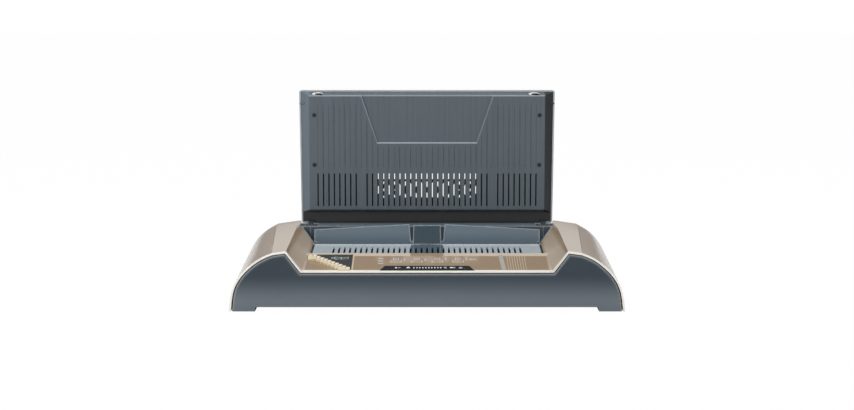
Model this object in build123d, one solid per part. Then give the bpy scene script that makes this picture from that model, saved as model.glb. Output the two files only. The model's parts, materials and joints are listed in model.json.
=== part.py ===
from build123d import *
import os
from math import cos, radians, sin

# Thermal binding machine, millimetres. Origin under the middle of the body on the table,
# +Z up, front towards -Y. The lid is modelled open, as it stands while a document binds.

# ---- driving dimensions ----
WIDTH = 530.0
DEPTH = 240.0
HALF_WIDTH = WIDTH / 2
FRONT_Y = -DEPTH / 2
REAR_Y = DEPTH / 2
WALL = 2.5

# the shell's section: right half, at the front and at the lid's hinge line
SIDE_FOOT_Z = 0.4
SIDE_LOW = ((255.2, 41.0), (257.8, 42.5))
SIDE_HIGH = ((235.2, 63.8), (243.5, 62.0))
CREASE = ((206.0, 79.7), (219.8, 77.6))
HUMP_CORNER = ((187.5, 82.0), (188.0, 82.2))
CREASE_PITCH = (0.34, 0.54)
TUCK_RADIUS = 16.0
TUCK_DROP = 9.0

# the deck between the humps: depth, height and half width of each change of slope
DECK_FRONT = (FRONT_Y, 55.8, 168.0)
DECK_STRIP = (-53.0, 66.0, 161.0)
DECK_WELL = (8.0, 68.7, 160.0)
DECK_REAR = (80.0, 73.0, 160.0)

# the lid and its hinge
HINGE_Y = 80.0
HINGE_Z = 76.0
LID_LEAN = 4.0
LID_NEAR = 5.5
LID_FAR = 200.0
LID_HALF_NEAR = 183.8
LID_HALF_FAR = 186.2
PANEL_FACE = 4.0
RIM_FACE = 15.0
SHELL_FACE = 24.0
LID_SKIN = 2.2
PANEL_NEAR = 26.4
PANEL_FAR = 192.5
PANEL_HALF = 171.0
PIN_RADIUS = 2.5
PIN_FIT = 0.05

# the slots in the lid's panel and in the strip before the well
LID_SLOT_PITCH = 7.94
LID_SLOT_COUNT = 41
LID_SLOT_GAP = 9
LID_SLOT_SPAN = (31.6, 79.2)
LID_SLOT_WIDTH = 2.0
STRIP_SLOT_PITCH = 7.6
STRIP_SLOT_COUNT = 35
STRIP_SLOT_SPAN = (-51.6, -20.0)
STRIP_SLOT_WIDTH = 2.7
STRIP_HALF = 160.2
STRIP_BEAD = 0.78

# the document support flap at the front of the well
FLAP_Y = -2.0
FLAP_Z = 66.3
FLAP_LEAN = 20.0
FLAP_HALF = 158.8
FLAP_BAR_HALF = 157.2
FLAP_FOOT_HALF = 155.4
FLAP_BAR_RADIUS = 1.9
FLAP_SET_BACK = 2.8
ROD_RADIUS = 1.0

# the binding well
WELL_FRONT_Y = 2.0
WELL_REAR_Y = 66.0
WELL_FLOOR_Z = 40.0
LEDGE_Z = 81.0
SHELF_Z = 62.0
BRIDGE_HALF = 159.2
BRIDGE_REAR = 94.3
PLATE_TOP_Z = 43.0
PLATE_FOOT_Z = 39.0
PLATE_HALF = 151.0
PLATE_SPAN = (5.0, 62.5)
RIB_COUNT = 9
RIB_PITCH = 6.0
RIB_HALF = 0.9
STRIP_HEATER_Z = 36.6

# the tray, what stands in it and the feet
FLOOR_Z = 6.2
FLOOR_THICK = 2.8
POSTS = [(-236.0, -96.0), (236.0, -96.0), (-236.0, 94.0), (236.0, 94.0), (-90.0, -96.0), (90.0, -96.0),
         (0.0, 98.0)]
POST_TOP = 24.0
POST_RADIUS = 4.5
SCREW_TIP = 36.0
SHANK_RADIUS = 1.4
HEAD_RADIUS = 3.4
HEAD_POCKET = (3.8, 1.6)
TOWER_X = (160.0, 180.0)
TOWER_Y = (72.0, 88.0)
BOARD_POST_HALF = 3.5
FOOT_GAP_HALF = 229.5
SHIELD_Z = 20.0
SHIELD_THICK = 1.2
SHIELD_POSTS = [(-135.0, 12.0), (135.0, 12.0), (-135.0, 56.0), (135.0, 56.0)]
BOARD_Z = 30.0
BOARD_THICK = 1.6
BOARD_POSTS = [(-60.0, -102.0), (60.0, -102.0), (-60.0, -72.0), (60.0, -72.0)]
POWER_BOARD_Z = 16.0
POWER_BOARD_POSTS = [(198.0, 10.0), (240.0, 10.0), (198.0, 72.0), (240.0, 72.0)]
BRACKET_Z = 58.0
MODULE_FRONT = -113.4
MODULE_SPAN = (-28.0, 34.0)
PAD_X = 244.0
PAD_Y = (-96.0, 96.0)
PAD_RADIUS = 8.0

# the screws and bumpers of the lid: across, and along from the hinge
SCREW_PLACES = [(-163.5, 91.6), (163.5, 91.6), (-163.5, 163.9), (163.5, 163.9)]
SCREW_DEPTH = 4.0
LID_HEAD_RADIUS = 3.0
LID_SHANK_RADIUS = 1.5
LID_SHANK_END = -SHELL_FACE + 4.0
BUMPER_X = 156.5
BUMPER_ALONG = 193.8
LATCH_ALONG = 179.6

PARTS = {}


# ---- helpers ----
def block(x0, x1, y0, y1, z0, z1):
    """Plain block between two corners."""
    size = (x1 - x0, y1 - y0, z1 - z0)
    middle = ((x0 + x1) / 2, (y0 + y1) / 2, (z0 + z1) / 2)
    return Pos(*middle) * Box(*size)


def prism(points, z0, z1):
    """Upright prism over a plan outline."""
    face = make_face(Polyline(*points, close=True))
    return Pos(0, 0, z0) * extrude(face, z1 - z0)


def side_prism(points, x0, x1):
    """Prism along X over an outline in the YZ plane."""
    face = make_face(Polyline(*points, close=True))
    return extrude(Plane(origin=(x0, 0, 0), x_dir=(0, 1, 0), z_dir=(1, 0, 0)) * face, x1 - x0)


def rod_x(radius, x0, x1, y, z):
    """Round bar along X."""
    return Pos((x0 + x1) / 2, y, z) * Rot(0, 90, 0) * Cylinder(radius, x1 - x0)


def rod_z(radius, x, y, z0, z1):
    """Round bar along Z."""
    return Pos(x, y, (z0 + z1) / 2) * Cylinder(radius, z1 - z0)


def screw(head_radius, core_radius, x, y, head, core):
    """Screw along Z: a round head and a six-sided core, each between two heights."""
    stem = Pos(x, y, core[0]) * extrude(RegularPolygon(core_radius, 6), core[1] - core[0])
    return rod_z(head_radius, x, y, *head) + stem


def both_sides(shape):
    """A shape and its mirror image across the machine's middle plane."""
    return [shape, mirror(shape, Plane.YZ)]


def fuse(shapes):
    """One shape from several that touch or overlap."""
    result = shapes[0]
    for shape in shapes[1:]:
        result = result + shape
    return result


def mixed(pair, share):
    """Value between the front and the hinge-line ones."""
    return tuple(a + (b - a) * share for a, b in zip(*pair))


def plan_mirror(points):
    """Closed plan outline from its right half, front to rear."""
    return points + [(-x, y) for x, y in reversed(points)]


# ---- outer form of the body ----
def section(y, deck_z, deck_half, drop=0.0, inset=0.0, shape_y=None):
    """Closed wire across the body: side curve, facet, inner slope and deck.

    drop lowers the whole section, as where the rear edge is rounded over. inset moves
    it inwards by a wall.
    """
    at = y if shape_y is None else shape_y
    share = (min(at, HINGE_Y) - FRONT_Y) / (HINGE_Y - FRONT_Y)
    pitch = CREASE_PITCH[0] + (CREASE_PITCH[1] - CREASE_PITCH[0]) * share
    off = inset + drop
    low_x, low_z = mixed(SIDE_LOW, share)
    high_x, high_z = mixed(SIDE_HIGH, share)
    crease_x, crease_z = mixed(CREASE, share)
    corner_x, corner_z = mixed(HUMP_CORNER, share)
    foot = (HALF_WIDTH - off, SIDE_FOOT_Z - inset)
    low = (low_x - 0.93 * off, low_z - 0.36 * off)
    high = (high_x - 0.72 * off, high_z - 0.69 * off)
    crease = (crease_x - 0.2 * off, crease_z - 0.98 * off)
    corner = (corner_x + 0.4 * inset, corner_z - off)
    deck = (deck_half + 0.4 * inset, deck_z - off)

    def at_y(point, side=1):
        return Vector(side * point[0], y, point[1])

    curve = [foot, low, high, crease]
    rise = Vector(-0.08, 0, 1.0)
    run_in = Vector(-1.0, 0, pitch)
    run_out = Vector(-1.0, 0, -pitch)
    fall = Vector(-0.08, 0, -1.0)
    right_side = [at_y(p) for p in curve]
    left_side = [at_y(p, -1) for p in reversed(curve)]
    edges = [Edge.make_line(at_y(foot, -1), at_y(foot))]
    edges.append(Edge.make_spline(right_side, tangents=[rise, run_in]))
    edges.append(Edge.make_line(at_y(crease), at_y(corner)))
    edges.append(Edge.make_line(at_y(corner), at_y(deck)))
    edges.append(Edge.make_line(at_y(deck), at_y(deck, -1)))
    edges.append(Edge.make_line(at_y(deck, -1), at_y(corner, -1)))
    edges.append(Edge.make_line(at_y(corner, -1), at_y(crease, -1)))
    edges.append(Edge.make_spline(left_side, tangents=[run_out, fall]))
    return Wire(edges)


def body_form(inset=0.0, overrun=0.0):
    """Solid with the body's outer shape, or with that shape moved in by a wall."""
    wires = []
    for station in (DECK_FRONT, DECK_STRIP, DECK_WELL, DECK_REAR):
        y = station[0] - (overrun if station is DECK_FRONT else 0.0)
        wires.append(section(y, station[1], station[2], inset=inset, shape_y=station[0]))
    for turn in (0, 30, 60, 90):
        y = REAR_Y - TUCK_RADIUS + TUCK_RADIUS * sin(radians(turn))
        drop = TUCK_DROP * (1 - cos(radians(turn)))
        wires.append(section(y, DECK_REAR[1], DECK_REAR[2], drop, inset))
    if overrun:
        wires.append(section(REAR_Y + overrun, DECK_REAR[1], DECK_REAR[2], TUCK_DROP, inset))
    return Solid.make_loft(wires, ruled=True)


BODY = body_form()

# plan of the opening in the deck for the strip and the well
WELL_CUT = plan_mirror([(160.5, -53.0), (160.5, 0.0), (162.0, 8.0), (183.0, 70.2)])
WELL_OUTER = plan_mirror([(158.6, 0.0), (161.8, 8.0), (182.6, 70.0)])
WELL_INNER = plan_mirror([(156.0, WELL_FRONT_Y), (159.4, 8.0), (179.2, WELL_REAR_Y)])

LID_BAY_HALF = 185.2
LID_BAY_FLOOR = 72.9

DECK_ANGLE = Vector(0, 1, 0).get_angle(
    Vector(0, DECK_STRIP[0] - DECK_FRONT[0], DECK_STRIP[1] - DECK_FRONT[1]))
DECK_PLANE = Plane(origin=(0, FRONT_Y, DECK_FRONT[1]), x_dir=(1, 0, 0),
                   z_dir=(0, -sin(radians(DECK_ANGLE)), cos(radians(DECK_ANGLE))))


def on_deck(points, low, high):
    """Prism standing on the sloping deck; points are across and up the slope."""
    face = make_face(Polyline(*points, close=True))
    return DECK_PLANE * (Pos(0, 0, low) * extrude(face, high - low))


# ---- gauge, display window and keys, on the deck ----
GAUGE_STEPS = 10
GAUGE_PITCH = 5.2
GAUGE_START = (-155.0, 54.5)
GAUGE_BAND = 17.0
GAUGE_NEAR = 1.2
GAUGE_RISE = 3.0
GAUGE_SINK = 1.2
GAUGE_PLATE_END = -101.5
GAUGE_PLATE_BACK = 63.0
WINDOW_NEAR = (63.5, 1.8)
WINDOW_FAR = (56.5, 19.5)
WINDOW_THICK = 1.6
KEY_SIZE = (9.0, 6.5)
KEY_PLACES = {"select_key": (-39.0, 11.0), "power_key": (45.0, 11.0)}
KEY_GAP = 0.35
KEY_TRAVEL = 0.8


def stair(shift):
    """The gauge's stepped edge, from the back left corner down to the front."""
    x, v = GAUGE_START
    points = []
    for _ in range(GAUGE_STEPS):
        points.append((x, v + shift))
        points.append((x + GAUGE_PITCH, v + shift))
        x += GAUGE_PITCH
        v -= GAUGE_PITCH
    return points


def gauge_steps():
    """Raised stepped rib that a document's spine is laid against."""
    upper = stair(0.0)
    lower = [(x, v) for x, v in stair(-GAUGE_BAND) if v > GAUGE_NEAR]
    left_x = GAUGE_START[0] - 6.5
    outline = [(left_x, GAUGE_START[1])] + upper
    outline += [(upper[-1][0], GAUGE_NEAR), (lower[-1][0], GAUGE_NEAR)]
    outline += list(reversed(lower)) + [(left_x, GAUGE_START[1] - GAUGE_BAND)]
    return on_deck(outline, 0.0, GAUGE_RISE)


def gauge_area(grow=0.0):
    """Outline of the dark gauge plate beside the steps."""
    upper = [(x + 0.2 - grow, v + 0.2 - grow) for x, v in stair(0.0)]
    back = GAUGE_PLATE_BACK + grow
    end = GAUGE_PLATE_END + grow
    return [(upper[0][0], back)] + upper + [(end, upper[-1][1]), (end, back)]


def gauge_plate():
    """Thin dark plate let into the deck behind the steps."""
    return on_deck(gauge_area(), -GAUGE_SINK, -GAUGE_SINK + 0.9)


def window_outline(grow=0.0):
    """Trapezoid of the display window, widest at the front edge."""
    near_x, near_v = WINDOW_NEAR
    far_x, far_v = WINDOW_FAR
    right = [(near_x + grow, near_v - grow), (far_x + grow, far_v + grow)]
    return right + [(-x, v) for x, v in reversed(right)]


def window_hole():
    """Opening under the window for the light bar and the keys."""
    return [(-54.0, 5.6), (54.0, 5.6), (51.0, 17.0), (-51.0, 17.0)]


def key_outline(place, grow=0.0):
    """Rectangle of one key."""
    x, v = place
    half_x = KEY_SIZE[0] / 2 + grow
    half_v = KEY_SIZE[1] / 2 + grow
    return [(x - half_x, v - half_v), (x + half_x, v - half_v),
            (x + half_x, v + half_v), (x - half_x, v + half_v)]


def display_window():
    """Glossy window over the display, with a hole for each key."""
    window = on_deck(window_outline(), -WINDOW_THICK, 0.0)
    for place in KEY_PLACES.values():
        window = window - on_deck(key_outline(place, KEY_GAP), -WINDOW_THICK - 1, 1.0)
    return window


def key(place):
    """Push key: a cap in the window and a stem down to its switch."""
    cap = on_deck(key_outline(place), -2.0, 0.3)
    stem = on_deck(key_outline(place, -1.8), -9.0, -2.0)
    return cap + stem


# ---- body shells ----
def top_shell():
    """Moulded champagne shell: two humps, their inner slopes, the deck and the floor of the lid's bay."""
    bay = block(-LID_BAY_HALF, LID_BAY_HALF, 70.0, REAR_Y + 5, LID_BAY_FLOOR, 120)
    inner_bay = block(-LID_BAY_HALF - WALL, LID_BAY_HALF + WALL, 70.0 - WALL, REAR_Y + 9,
                      LID_BAY_FLOOR - WALL, 120)
    shell = (BODY - bay) - (body_form(WALL, 1.0) - inner_bay)
    shell = shell - prism(WELL_CUT, 30, 120)
    shell = shell - on_deck(window_outline(0.2), -WINDOW_THICK, 1.0)
    shell = shell - on_deck(window_hole(), -WALL - 4, 1.0)
    for side in (-1, 1):
        x0, x1 = sorted((side * 157.5, side * 182.4))
        shell = shell - block(x0, x1, 70.0, 90.0, 60.0, LID_BAY_FLOOR + 1)
    shell = shell - on_deck(gauge_area(0.2), -GAUGE_SINK, 2.0)
    for x, y in POSTS:
        boss = (rod_z(POST_RADIUS, x, y, POST_TOP, 95.0) & BODY) - bay
        shell = shell + (boss - rod_z(SHANK_RADIUS, x, y, POST_TOP - 1, SCREW_TIP + 2))
    return shell


def panel_outline(inset, y):
    """Outline of the front or rear panel, inset from the shell's outer form."""
    station = DECK_FRONT if y < 0 else DECK_REAR
    drop = 0.0 if y < 0 else TUCK_DROP
    return section(y, station[1], station[2], drop, inset, shape_y=station[0])


def front_panel():
    """Fascia: flat face with a bevelled edge all round, standing on two end feet."""
    groove = 1.1
    bevel = 2.0
    back = panel_outline(WALL + groove, FRONT_Y + 5.0)
    edge = panel_outline(WALL + groove, FRONT_Y + 2.2)
    face = panel_outline(WALL + groove + bevel, FRONT_Y + 0.2)
    panel = Solid.make_loft([back, edge], ruled=True) + Solid.make_loft([edge, face], ruled=True)
    panel = panel - block(-300, 300, FRONT_Y - 5, FRONT_Y + 9, -10, 0.3)
    gap = [(-FOOT_GAP_HALF, FLOOR_Z), (FOOT_GAP_HALF, FLOOR_Z), (FOOT_GAP_HALF + 1.5, -9),
           (-FOOT_GAP_HALF - 1.5, -9)]
    gap_face = make_face(Polyline(*gap, close=True))
    gap_plane = Plane(origin=(0, FRONT_Y + 9, 0), x_dir=(1, 0, 0), z_dir=(0, -1, 0))
    return panel - extrude(gap_plane * gap_face, 20)


INLET_X = 208.0
SWITCH_X = 168.0
REAR_FITTING_Z = 38.0
INLET_SIZE = (28.0, 20.0)
SWITCH_SIZE = (21.0, 15.0)
VENT_COUNT = 12
VENT_PITCH = 16.0
VENT_HALF = 1.6
VENT_SPAN = (26.0, 50.0)


def rear_opening(x, size, grow, y0, y1):
    """Rectangular hole through the rear panel."""
    half_x = size[0] / 2 + grow
    half_z = size[1] / 2 + grow
    z = REAR_FITTING_Z
    return block(x - half_x, x + half_x, y0, y1, z - half_z, z + half_z)


def rear_panel():
    """Rear cover with a row of vents and the holes for the mains fittings."""
    outer = panel_outline(WALL + 0.3, REAR_Y - 1.0)
    inner = panel_outline(WALL + 0.3, REAR_Y - 3.5)
    panel = Solid.make_loft([inner, outer], ruled=True)
    panel = panel - block(-300, 300, REAR_Y - 9, REAR_Y + 5, -10, FLOOR_Z)
    bay_half = LID_BAY_HALF + WALL + 0.3
    panel = panel - block(-bay_half, bay_half, REAR_Y - 9, REAR_Y + 5, LID_BAY_FLOOR - WALL - 0.3, 100)
    panel = panel - rear_opening(INLET_X, INLET_SIZE, 0.15, REAR_Y - 9, REAR_Y + 5)
    panel = panel - rear_opening(SWITCH_X, SWITCH_SIZE, 0.15, REAR_Y - 9, REAR_Y + 5)
    for index in range(VENT_COUNT):
        x = (index - (VENT_COUNT - 1) / 2) * VENT_PITCH
        panel = panel - block(x - VENT_HALF, x + VENT_HALF, REAR_Y - 9, REAR_Y + 5, *VENT_SPAN)
    return panel


TRAY_HALF = 258.0
TRAY_WALL = 2.4
TRAY_WALL_TOP = 16.0
TRAY_CORNER = 5.0


def tray_outline(inset):
    """Plan of the tray, its rear corners cut off inside the shell's rounded ones."""
    front = FRONT_Y + 5.2 + inset
    rear = REAR_Y - 3.7 - inset
    half = TRAY_HALF - inset
    return plan_mirror([(half, front), (half, rear - TRAY_CORNER), (half - TRAY_CORNER, rear)])


def base_tray():
    """Lower housing: floor, low walls, screw posts and the towers of the lid's hinges."""
    outer = prism(tray_outline(0.0), FLOOR_Z, TRAY_WALL_TOP)
    tray = outer - prism(tray_outline(TRAY_WALL), FLOOR_Z + FLOOR_THICK, TRAY_WALL_TOP + 1)
    for x, y in POSTS:
        tray = tray + rod_z(POST_RADIUS, x, y, FLOOR_Z, POST_TOP)
        tray = tray - rod_z(SHANK_RADIUS, x, y, FLOOR_Z - 1, POST_TOP + 1)
        tray = tray - rod_z(HEAD_POCKET[0], x, y, FLOOR_Z - 1, FLOOR_Z + HEAD_POCKET[1])
    tray = fuse([tray] + both_sides(block(*TOWER_X, *TOWER_Y, FLOOR_Z, BRACKET_Z)))
    for places, top in ((SHIELD_POSTS, SHIELD_Z), (BOARD_POSTS, BOARD_Z), (POWER_BOARD_POSTS, POWER_BOARD_Z)):
        for x, y in places:
            half = BOARD_POST_HALF
            tray = tray + block(x - half, x + half, y - half, y + half, FLOOR_Z, top)
    return tray


def foot_rail():
    """Rail under one end of the machine, with two round pockets for rubber pads."""
    rail = block(FOOT_GAP_HALF + 0.3, TRAY_HALF, FRONT_Y + 5.4, REAR_Y - 3.7, 0.5, FLOOR_Z)
    for y in PAD_Y:
        rail = rail - rod_z(PAD_RADIUS + 0.1, PAD_X, y, 0, 3.0)
    return rail


def foot_pads():
    """Four rubber pads, each with a small round edge."""
    pads = []
    for y in PAD_Y:
        pad = rod_z(PAD_RADIUS, PAD_X, y, 0, 3.0)
        pad = chamfer(pad.edges().filter_by(GeomType.CIRCLE).group_by(Axis.Z)[0], 0.6)
        pads += both_sides(pad)
    return pads


def base_screws():
    """Self-tapping screws up through the tray's posts."""
    seat = FLOOR_Z + HEAD_POCKET[1]
    head, core = (FLOOR_Z + 0.2, seat), (seat, SCREW_TIP)
    return [screw(HEAD_RADIUS, SHANK_RADIUS, x, y, head, core) for x, y in POSTS]


# ---- vent strip, well and heater ----
def vent_strip():
    """Slotted strip between the deck and the well, with a bead and a lip along its rear edge."""
    front_y, rear_y = -52.8, -5.0
    rise = (DECK_WELL[1] - DECK_STRIP[1]) / (DECK_WELL[0] - DECK_STRIP[0])
    rear_z = DECK_STRIP[1] + rise * (rear_y - DECK_STRIP[0])
    outline = [(front_y, 66.0), (rear_y, rear_z), (rear_y, 62.0), (rear_y - 2.0, 62.0),
               (rear_y - 2.0, rear_z - 2.6), (front_y, 63.5)]
    strip = side_prism(outline, -STRIP_HALF, STRIP_HALF)
    bead = [(rear_y - 1.6, rear_z - 0.5), (rear_y - 1.3, rear_z + STRIP_BEAD), (rear_y, rear_z + STRIP_BEAD),
            (rear_y, rear_z - 0.5)]
    strip = fuse([strip] + both_sides(side_prism(bead, LABEL_HALF + 1.5, STRIP_HALF)))
    for index in range(STRIP_SLOT_COUNT):
        x = (index - (STRIP_SLOT_COUNT - 1) / 2) * STRIP_SLOT_PITCH
        half = STRIP_SLOT_WIDTH / 2
        strip = strip - block(x - half, x + half, *STRIP_SLOT_SPAN, 60, 72)
    return strip


def well_liner():
    """Walls and floor of the binding well, its rear ledge and the ears of the flap's rod."""
    solid = prism(WELL_OUTER, WELL_FLOOR_Z, 95) & BODY
    solid = solid - prism(WELL_INNER, WELL_FLOOR_Z + 2.0, 120)
    solid = solid - block(-200, 200, -1, 3, SHELF_Z, 90)
    ledge = prism(WELL_OUTER, 55.0, LEDGE_Z) & block(-190, 190, WELL_REAR_Y, 70.0, 55.0, LEDGE_Z)
    ledge = ledge + block(-169.0, 169.0, WELL_REAR_Y - 1.0, WELL_REAR_Y, 46.0, LEDGE_Z)
    shelf = block(-158.6, 158.6, -7.0, 2.0, SHELF_Z - 2.0, SHELF_Z)
    liner = solid + ledge + shelf
    for side in (-1, 1):
        x0, x1 = sorted((side * 157.5, side * 160.2))
        ear = block(x0, x1, -4.7, 0.7, SHELF_Z - 2.0, FLAP_Z) + rod_x(2.7, x0, x1, FLAP_Y, FLAP_Z)
        liner = liner + ear
    liner = liner - rod_x(ROD_RADIUS, -170, 170, FLAP_Y, FLAP_Z)
    liner = liner - block(-151.5, 151.5, 4.5, 63.0, WELL_FLOOR_Z - 1, WELL_FLOOR_Z + 3)
    return liner


def rear_bridge():
    """Cover over the hinge line behind the ledge, with an end wall behind each hinge bracket."""
    half = BRIDGE_HALF
    cover = block(-half, half, 70.3, BRIDGE_REAR, LID_BAY_FLOOR, LEDGE_Z)
    cover = cover - block(-half + 2, half - 2, 72.3, BRIDGE_REAR - 2.0, LID_BAY_FLOOR - 1, LEDGE_Z - 2.0)
    end_y = BRIDGE_REAR - 3.8
    end_x = LID_BAY_HALF - 0.3
    end = block(half, end_x, end_y, BRIDGE_REAR, LID_BAY_FLOOR, LID_BAY_FLOOR + 1.5)
    for x0, x1 in ((half, ARM_SPAN[0] - 0.7), (ARM_SPAN[1] + 0.7, end_x)):
        end = end + block(x0, x1, end_y, BRIDGE_REAR, LID_BAY_FLOOR, LEDGE_Z)
    bridge = fuse([cover] + both_sides(end))
    return chamfer(bridge.edges().filter_by(Axis.X).group_by(Axis.Z)[-1], 0.6)


def heating_plate():
    """Cast plate that heats the spine, with fine ribs along it."""
    plate = block(-PLATE_HALF, PLATE_HALF, *PLATE_SPAN, PLATE_FOOT_Z, PLATE_TOP_Z - 1.0)
    middle = sum(PLATE_SPAN) / 2
    for index in range(RIB_COUNT):
        y = middle + (index - (RIB_COUNT - 1) / 2) * RIB_PITCH
        plate = plate + block(-PLATE_HALF + 2, PLATE_HALF - 2, y - RIB_HALF, y + RIB_HALF,
                              PLATE_TOP_Z - 1.2, PLATE_TOP_Z)
    return plate


def heater_strips():
    """Two flat strip heaters against the underside of the plate."""
    return [block(-140, 140, y, y + 12, STRIP_HEATER_Z, PLATE_FOOT_Z) for y in (13, 43)]


def plate_standoffs():
    """Ceramic pillars that hold the hot plate off the shield."""
    pillars = []
    for x in (-145.5, 145.5):
        for y in (9.5, 58.0):
            pillars.append(rod_z(3.6, x, y, SHIELD_Z + SHIELD_THICK, PLATE_FOOT_Z))
    return pillars


def heat_shield():
    """Folded steel tray under the heater."""
    front, rear = 3.0, 64.5
    rim = 37.0
    floor = SHIELD_Z + SHIELD_THICK
    outer = [(front, SHIELD_Z), (rear, SHIELD_Z), (rear, rim), (rear - SHIELD_THICK, rim),
             (rear - SHIELD_THICK, floor), (front + SHIELD_THICK, floor), (front + SHIELD_THICK, rim),
             (front, rim)]
    return side_prism(outer, -PLATE_HALF - 1, PLATE_HALF + 1)


def thermostat():
    """Disc thermostat with its two flat terminals."""
    disc = rod_z(8.0, 60.0, 34.0, 31.0, PLATE_FOOT_Z)
    return disc + block(50.0, 70.0, 31.5, 36.5, 29.8, 31.2)


def thermal_fuse():
    """Thermal cut-out in its saddle under the plate."""
    return rod_x(2.2, -68, -52, 34.0, 36.8) + block(-63, -57, 30.5, 37.5, 36.0, PLATE_FOOT_Z)


def control_board():
    """Control board on four posts, with its larger components."""
    top = BOARD_Z + BOARD_THICK
    board = block(-66, 66, -108, -66, BOARD_Z, top)
    chips = [block(-50, -36, -84, -74, top, top + 2.4),
             block(-10, 10, -86, -72, top, top + 1.6),
             block(30, 48, -84, -76, top, top + 7.4)]
    return fuse([board] + chips)


def display_module():
    """Light bar of the display, standing on the board up to the window."""
    body = block(*MODULE_SPAN, MODULE_FRONT, -103.5, BOARD_Z + BOARD_THICK, 70)
    top = on_deck([(-90, -9), (90, -9), (90, 40), (-90, 40)], -WINDOW_THICK - 0.2, 30)
    leg = block(*MODULE_SPAN, MODULE_FRONT, -108.0, BOARD_Z, BOARD_Z + BOARD_THICK)
    return (body - top) + leg


def key_switches():
    """Pillar under each key with its switch on top."""
    pillars = []
    for place in KEY_PLACES.values():
        x, v = place
        y = FRONT_Y + v * cos(radians(DECK_ANGLE))
        pillar = block(x - 3.5, x + 3.5, y - 3.0, y + 5.0, BOARD_Z + BOARD_THICK, 70)
        cut = on_deck([(-90, -9), (90, -9), (90, 40), (-90, 40)], -9.0 - KEY_TRAVEL - 0.4, 30)
        pillars.append(pillar - cut)
    return pillars


def buzzer():
    """Small sounder on the board that says when the binding is done."""
    return rod_z(6.0, -22.0, -78.0, BOARD_Z + BOARD_THICK, BOARD_Z + 9.0)


def power_board():
    """Mains board on four posts in the right hump."""
    top = POWER_BOARD_Z + BOARD_THICK
    board = block(192, 246, 4, 78, POWER_BOARD_Z, top)
    relay = block(196, 212, 8, 28, top, top + 15.4)
    terminals = block(226, 236, 52, 74, top, top + 10.4)
    return fuse([board, relay, terminals])


def transformer():
    """Small mains transformer on the board: core and winding."""
    z = POWER_BOARD_Z + BOARD_THICK
    core = block(216, 244, 12, 44, z, z + 24)
    return core + block(219, 241, 8, 48, z + 5, z + 19)


# ---- mains fittings ----
def power_inlet():
    """Mains inlet: flanged socket with its three blades, closed behind."""
    x, z = INLET_X, REAR_FITTING_Z
    flange = block(x - 16, x + 16, REAR_Y - 1.0, REAR_Y, z - 12, z + 12)
    barrel = rear_opening(x, INLET_SIZE, 0.0, REAR_Y - 20.0, REAR_Y)
    well = rear_opening(x, INLET_SIZE, -2.2, REAR_Y - 15.0, REAR_Y + 2)
    body = (flange + barrel) - well
    for offset, rise in ((-7.0, -1.5), (0.0, 2.5), (7.0, -1.5)):
        body = body + block(x + offset - 1, x + offset + 1, REAR_Y - 16.0, REAR_Y - 5.5,
                            z + rise - 2, z + rise + 2)
    return body


ROCKER_TILT = 9.0
ROCKER_AXIS = (SWITCH_X, REAR_Y - 4.5, REAR_FITTING_Z)


def switch_housing():
    """Frame of the mains switch, with the rocker's two pivot seats."""
    x, z = SWITCH_X, REAR_FITTING_Z
    flange = block(x - 12.5, x + 12.5, REAR_Y - 1.0, REAR_Y - 0.2, z - 9.5, z + 9.5)
    barrel = rear_opening(x, SWITCH_SIZE, 0.0, REAR_Y - 18.0, REAR_Y - 0.2)
    well = rear_opening(x, SWITCH_SIZE, -1.8, REAR_Y - 12.0, REAR_Y + 2)
    housing = (flange + barrel) - well
    return housing - rod_x(1.3, x - 9.6, x + 9.6, ROCKER_AXIS[1], z)


def power_rocker():
    """Rocker with a shallow V face and its pivot pin; off side pressed in."""
    x, y, z = ROCKER_AXIS
    half = SWITCH_SIZE[1] / 2 - 1.8 - 0.5
    outline = [(y - 3.0, z - half + 1.4), (y + 2.9, z - half), (y + 1.9, z), (y + 2.9, z + half),
               (y - 3.0, z + half - 1.4)]
    rocker = side_prism(outline, x - 8.2, x + 8.2) + rod_x(1.25, x - 9.4, x + 9.4, y, z)
    return rocker.rotate(Axis((x, y, z), (1, 0, 0)), -ROCKER_TILT)


# ---- document support flap ----
FLAP_FOOT = -1.5
FLAP_SHOULDER = 5.2
FLAP_TOP_OUT = 23.6
FLAP_TOP_IN = 30.9
WING_FOOT_IN = 22.0
WEB_TOP = 24.0
WING_TOP_IN = 25.0
LABEL_HALF = 20.0
LABEL_FOOT = 1.9
LABEL_TOP = 29.3
FLAP_THICK = 2.2
SPRING_HALF = 9.5
SPRING_TURNS = 4
SPRING_PITCH = 3.4
SPRING_WIRE = 0.42


def flap_place(shape):
    """Move a flap piece from its drawing plane (across, up, thickness forward) to rest."""
    return Pos(0, FLAP_Y, FLAP_Z) * Rot(90 - FLAP_LEAN, 0, 0) * shape


def flap_slab(outline, back, front):
    """Slab of the flap between two depths; positive is towards the front."""
    face = make_face(Polyline(*outline, close=True))
    return flap_place(Pos(0, 0, back) * extrude(face, front - back))


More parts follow.
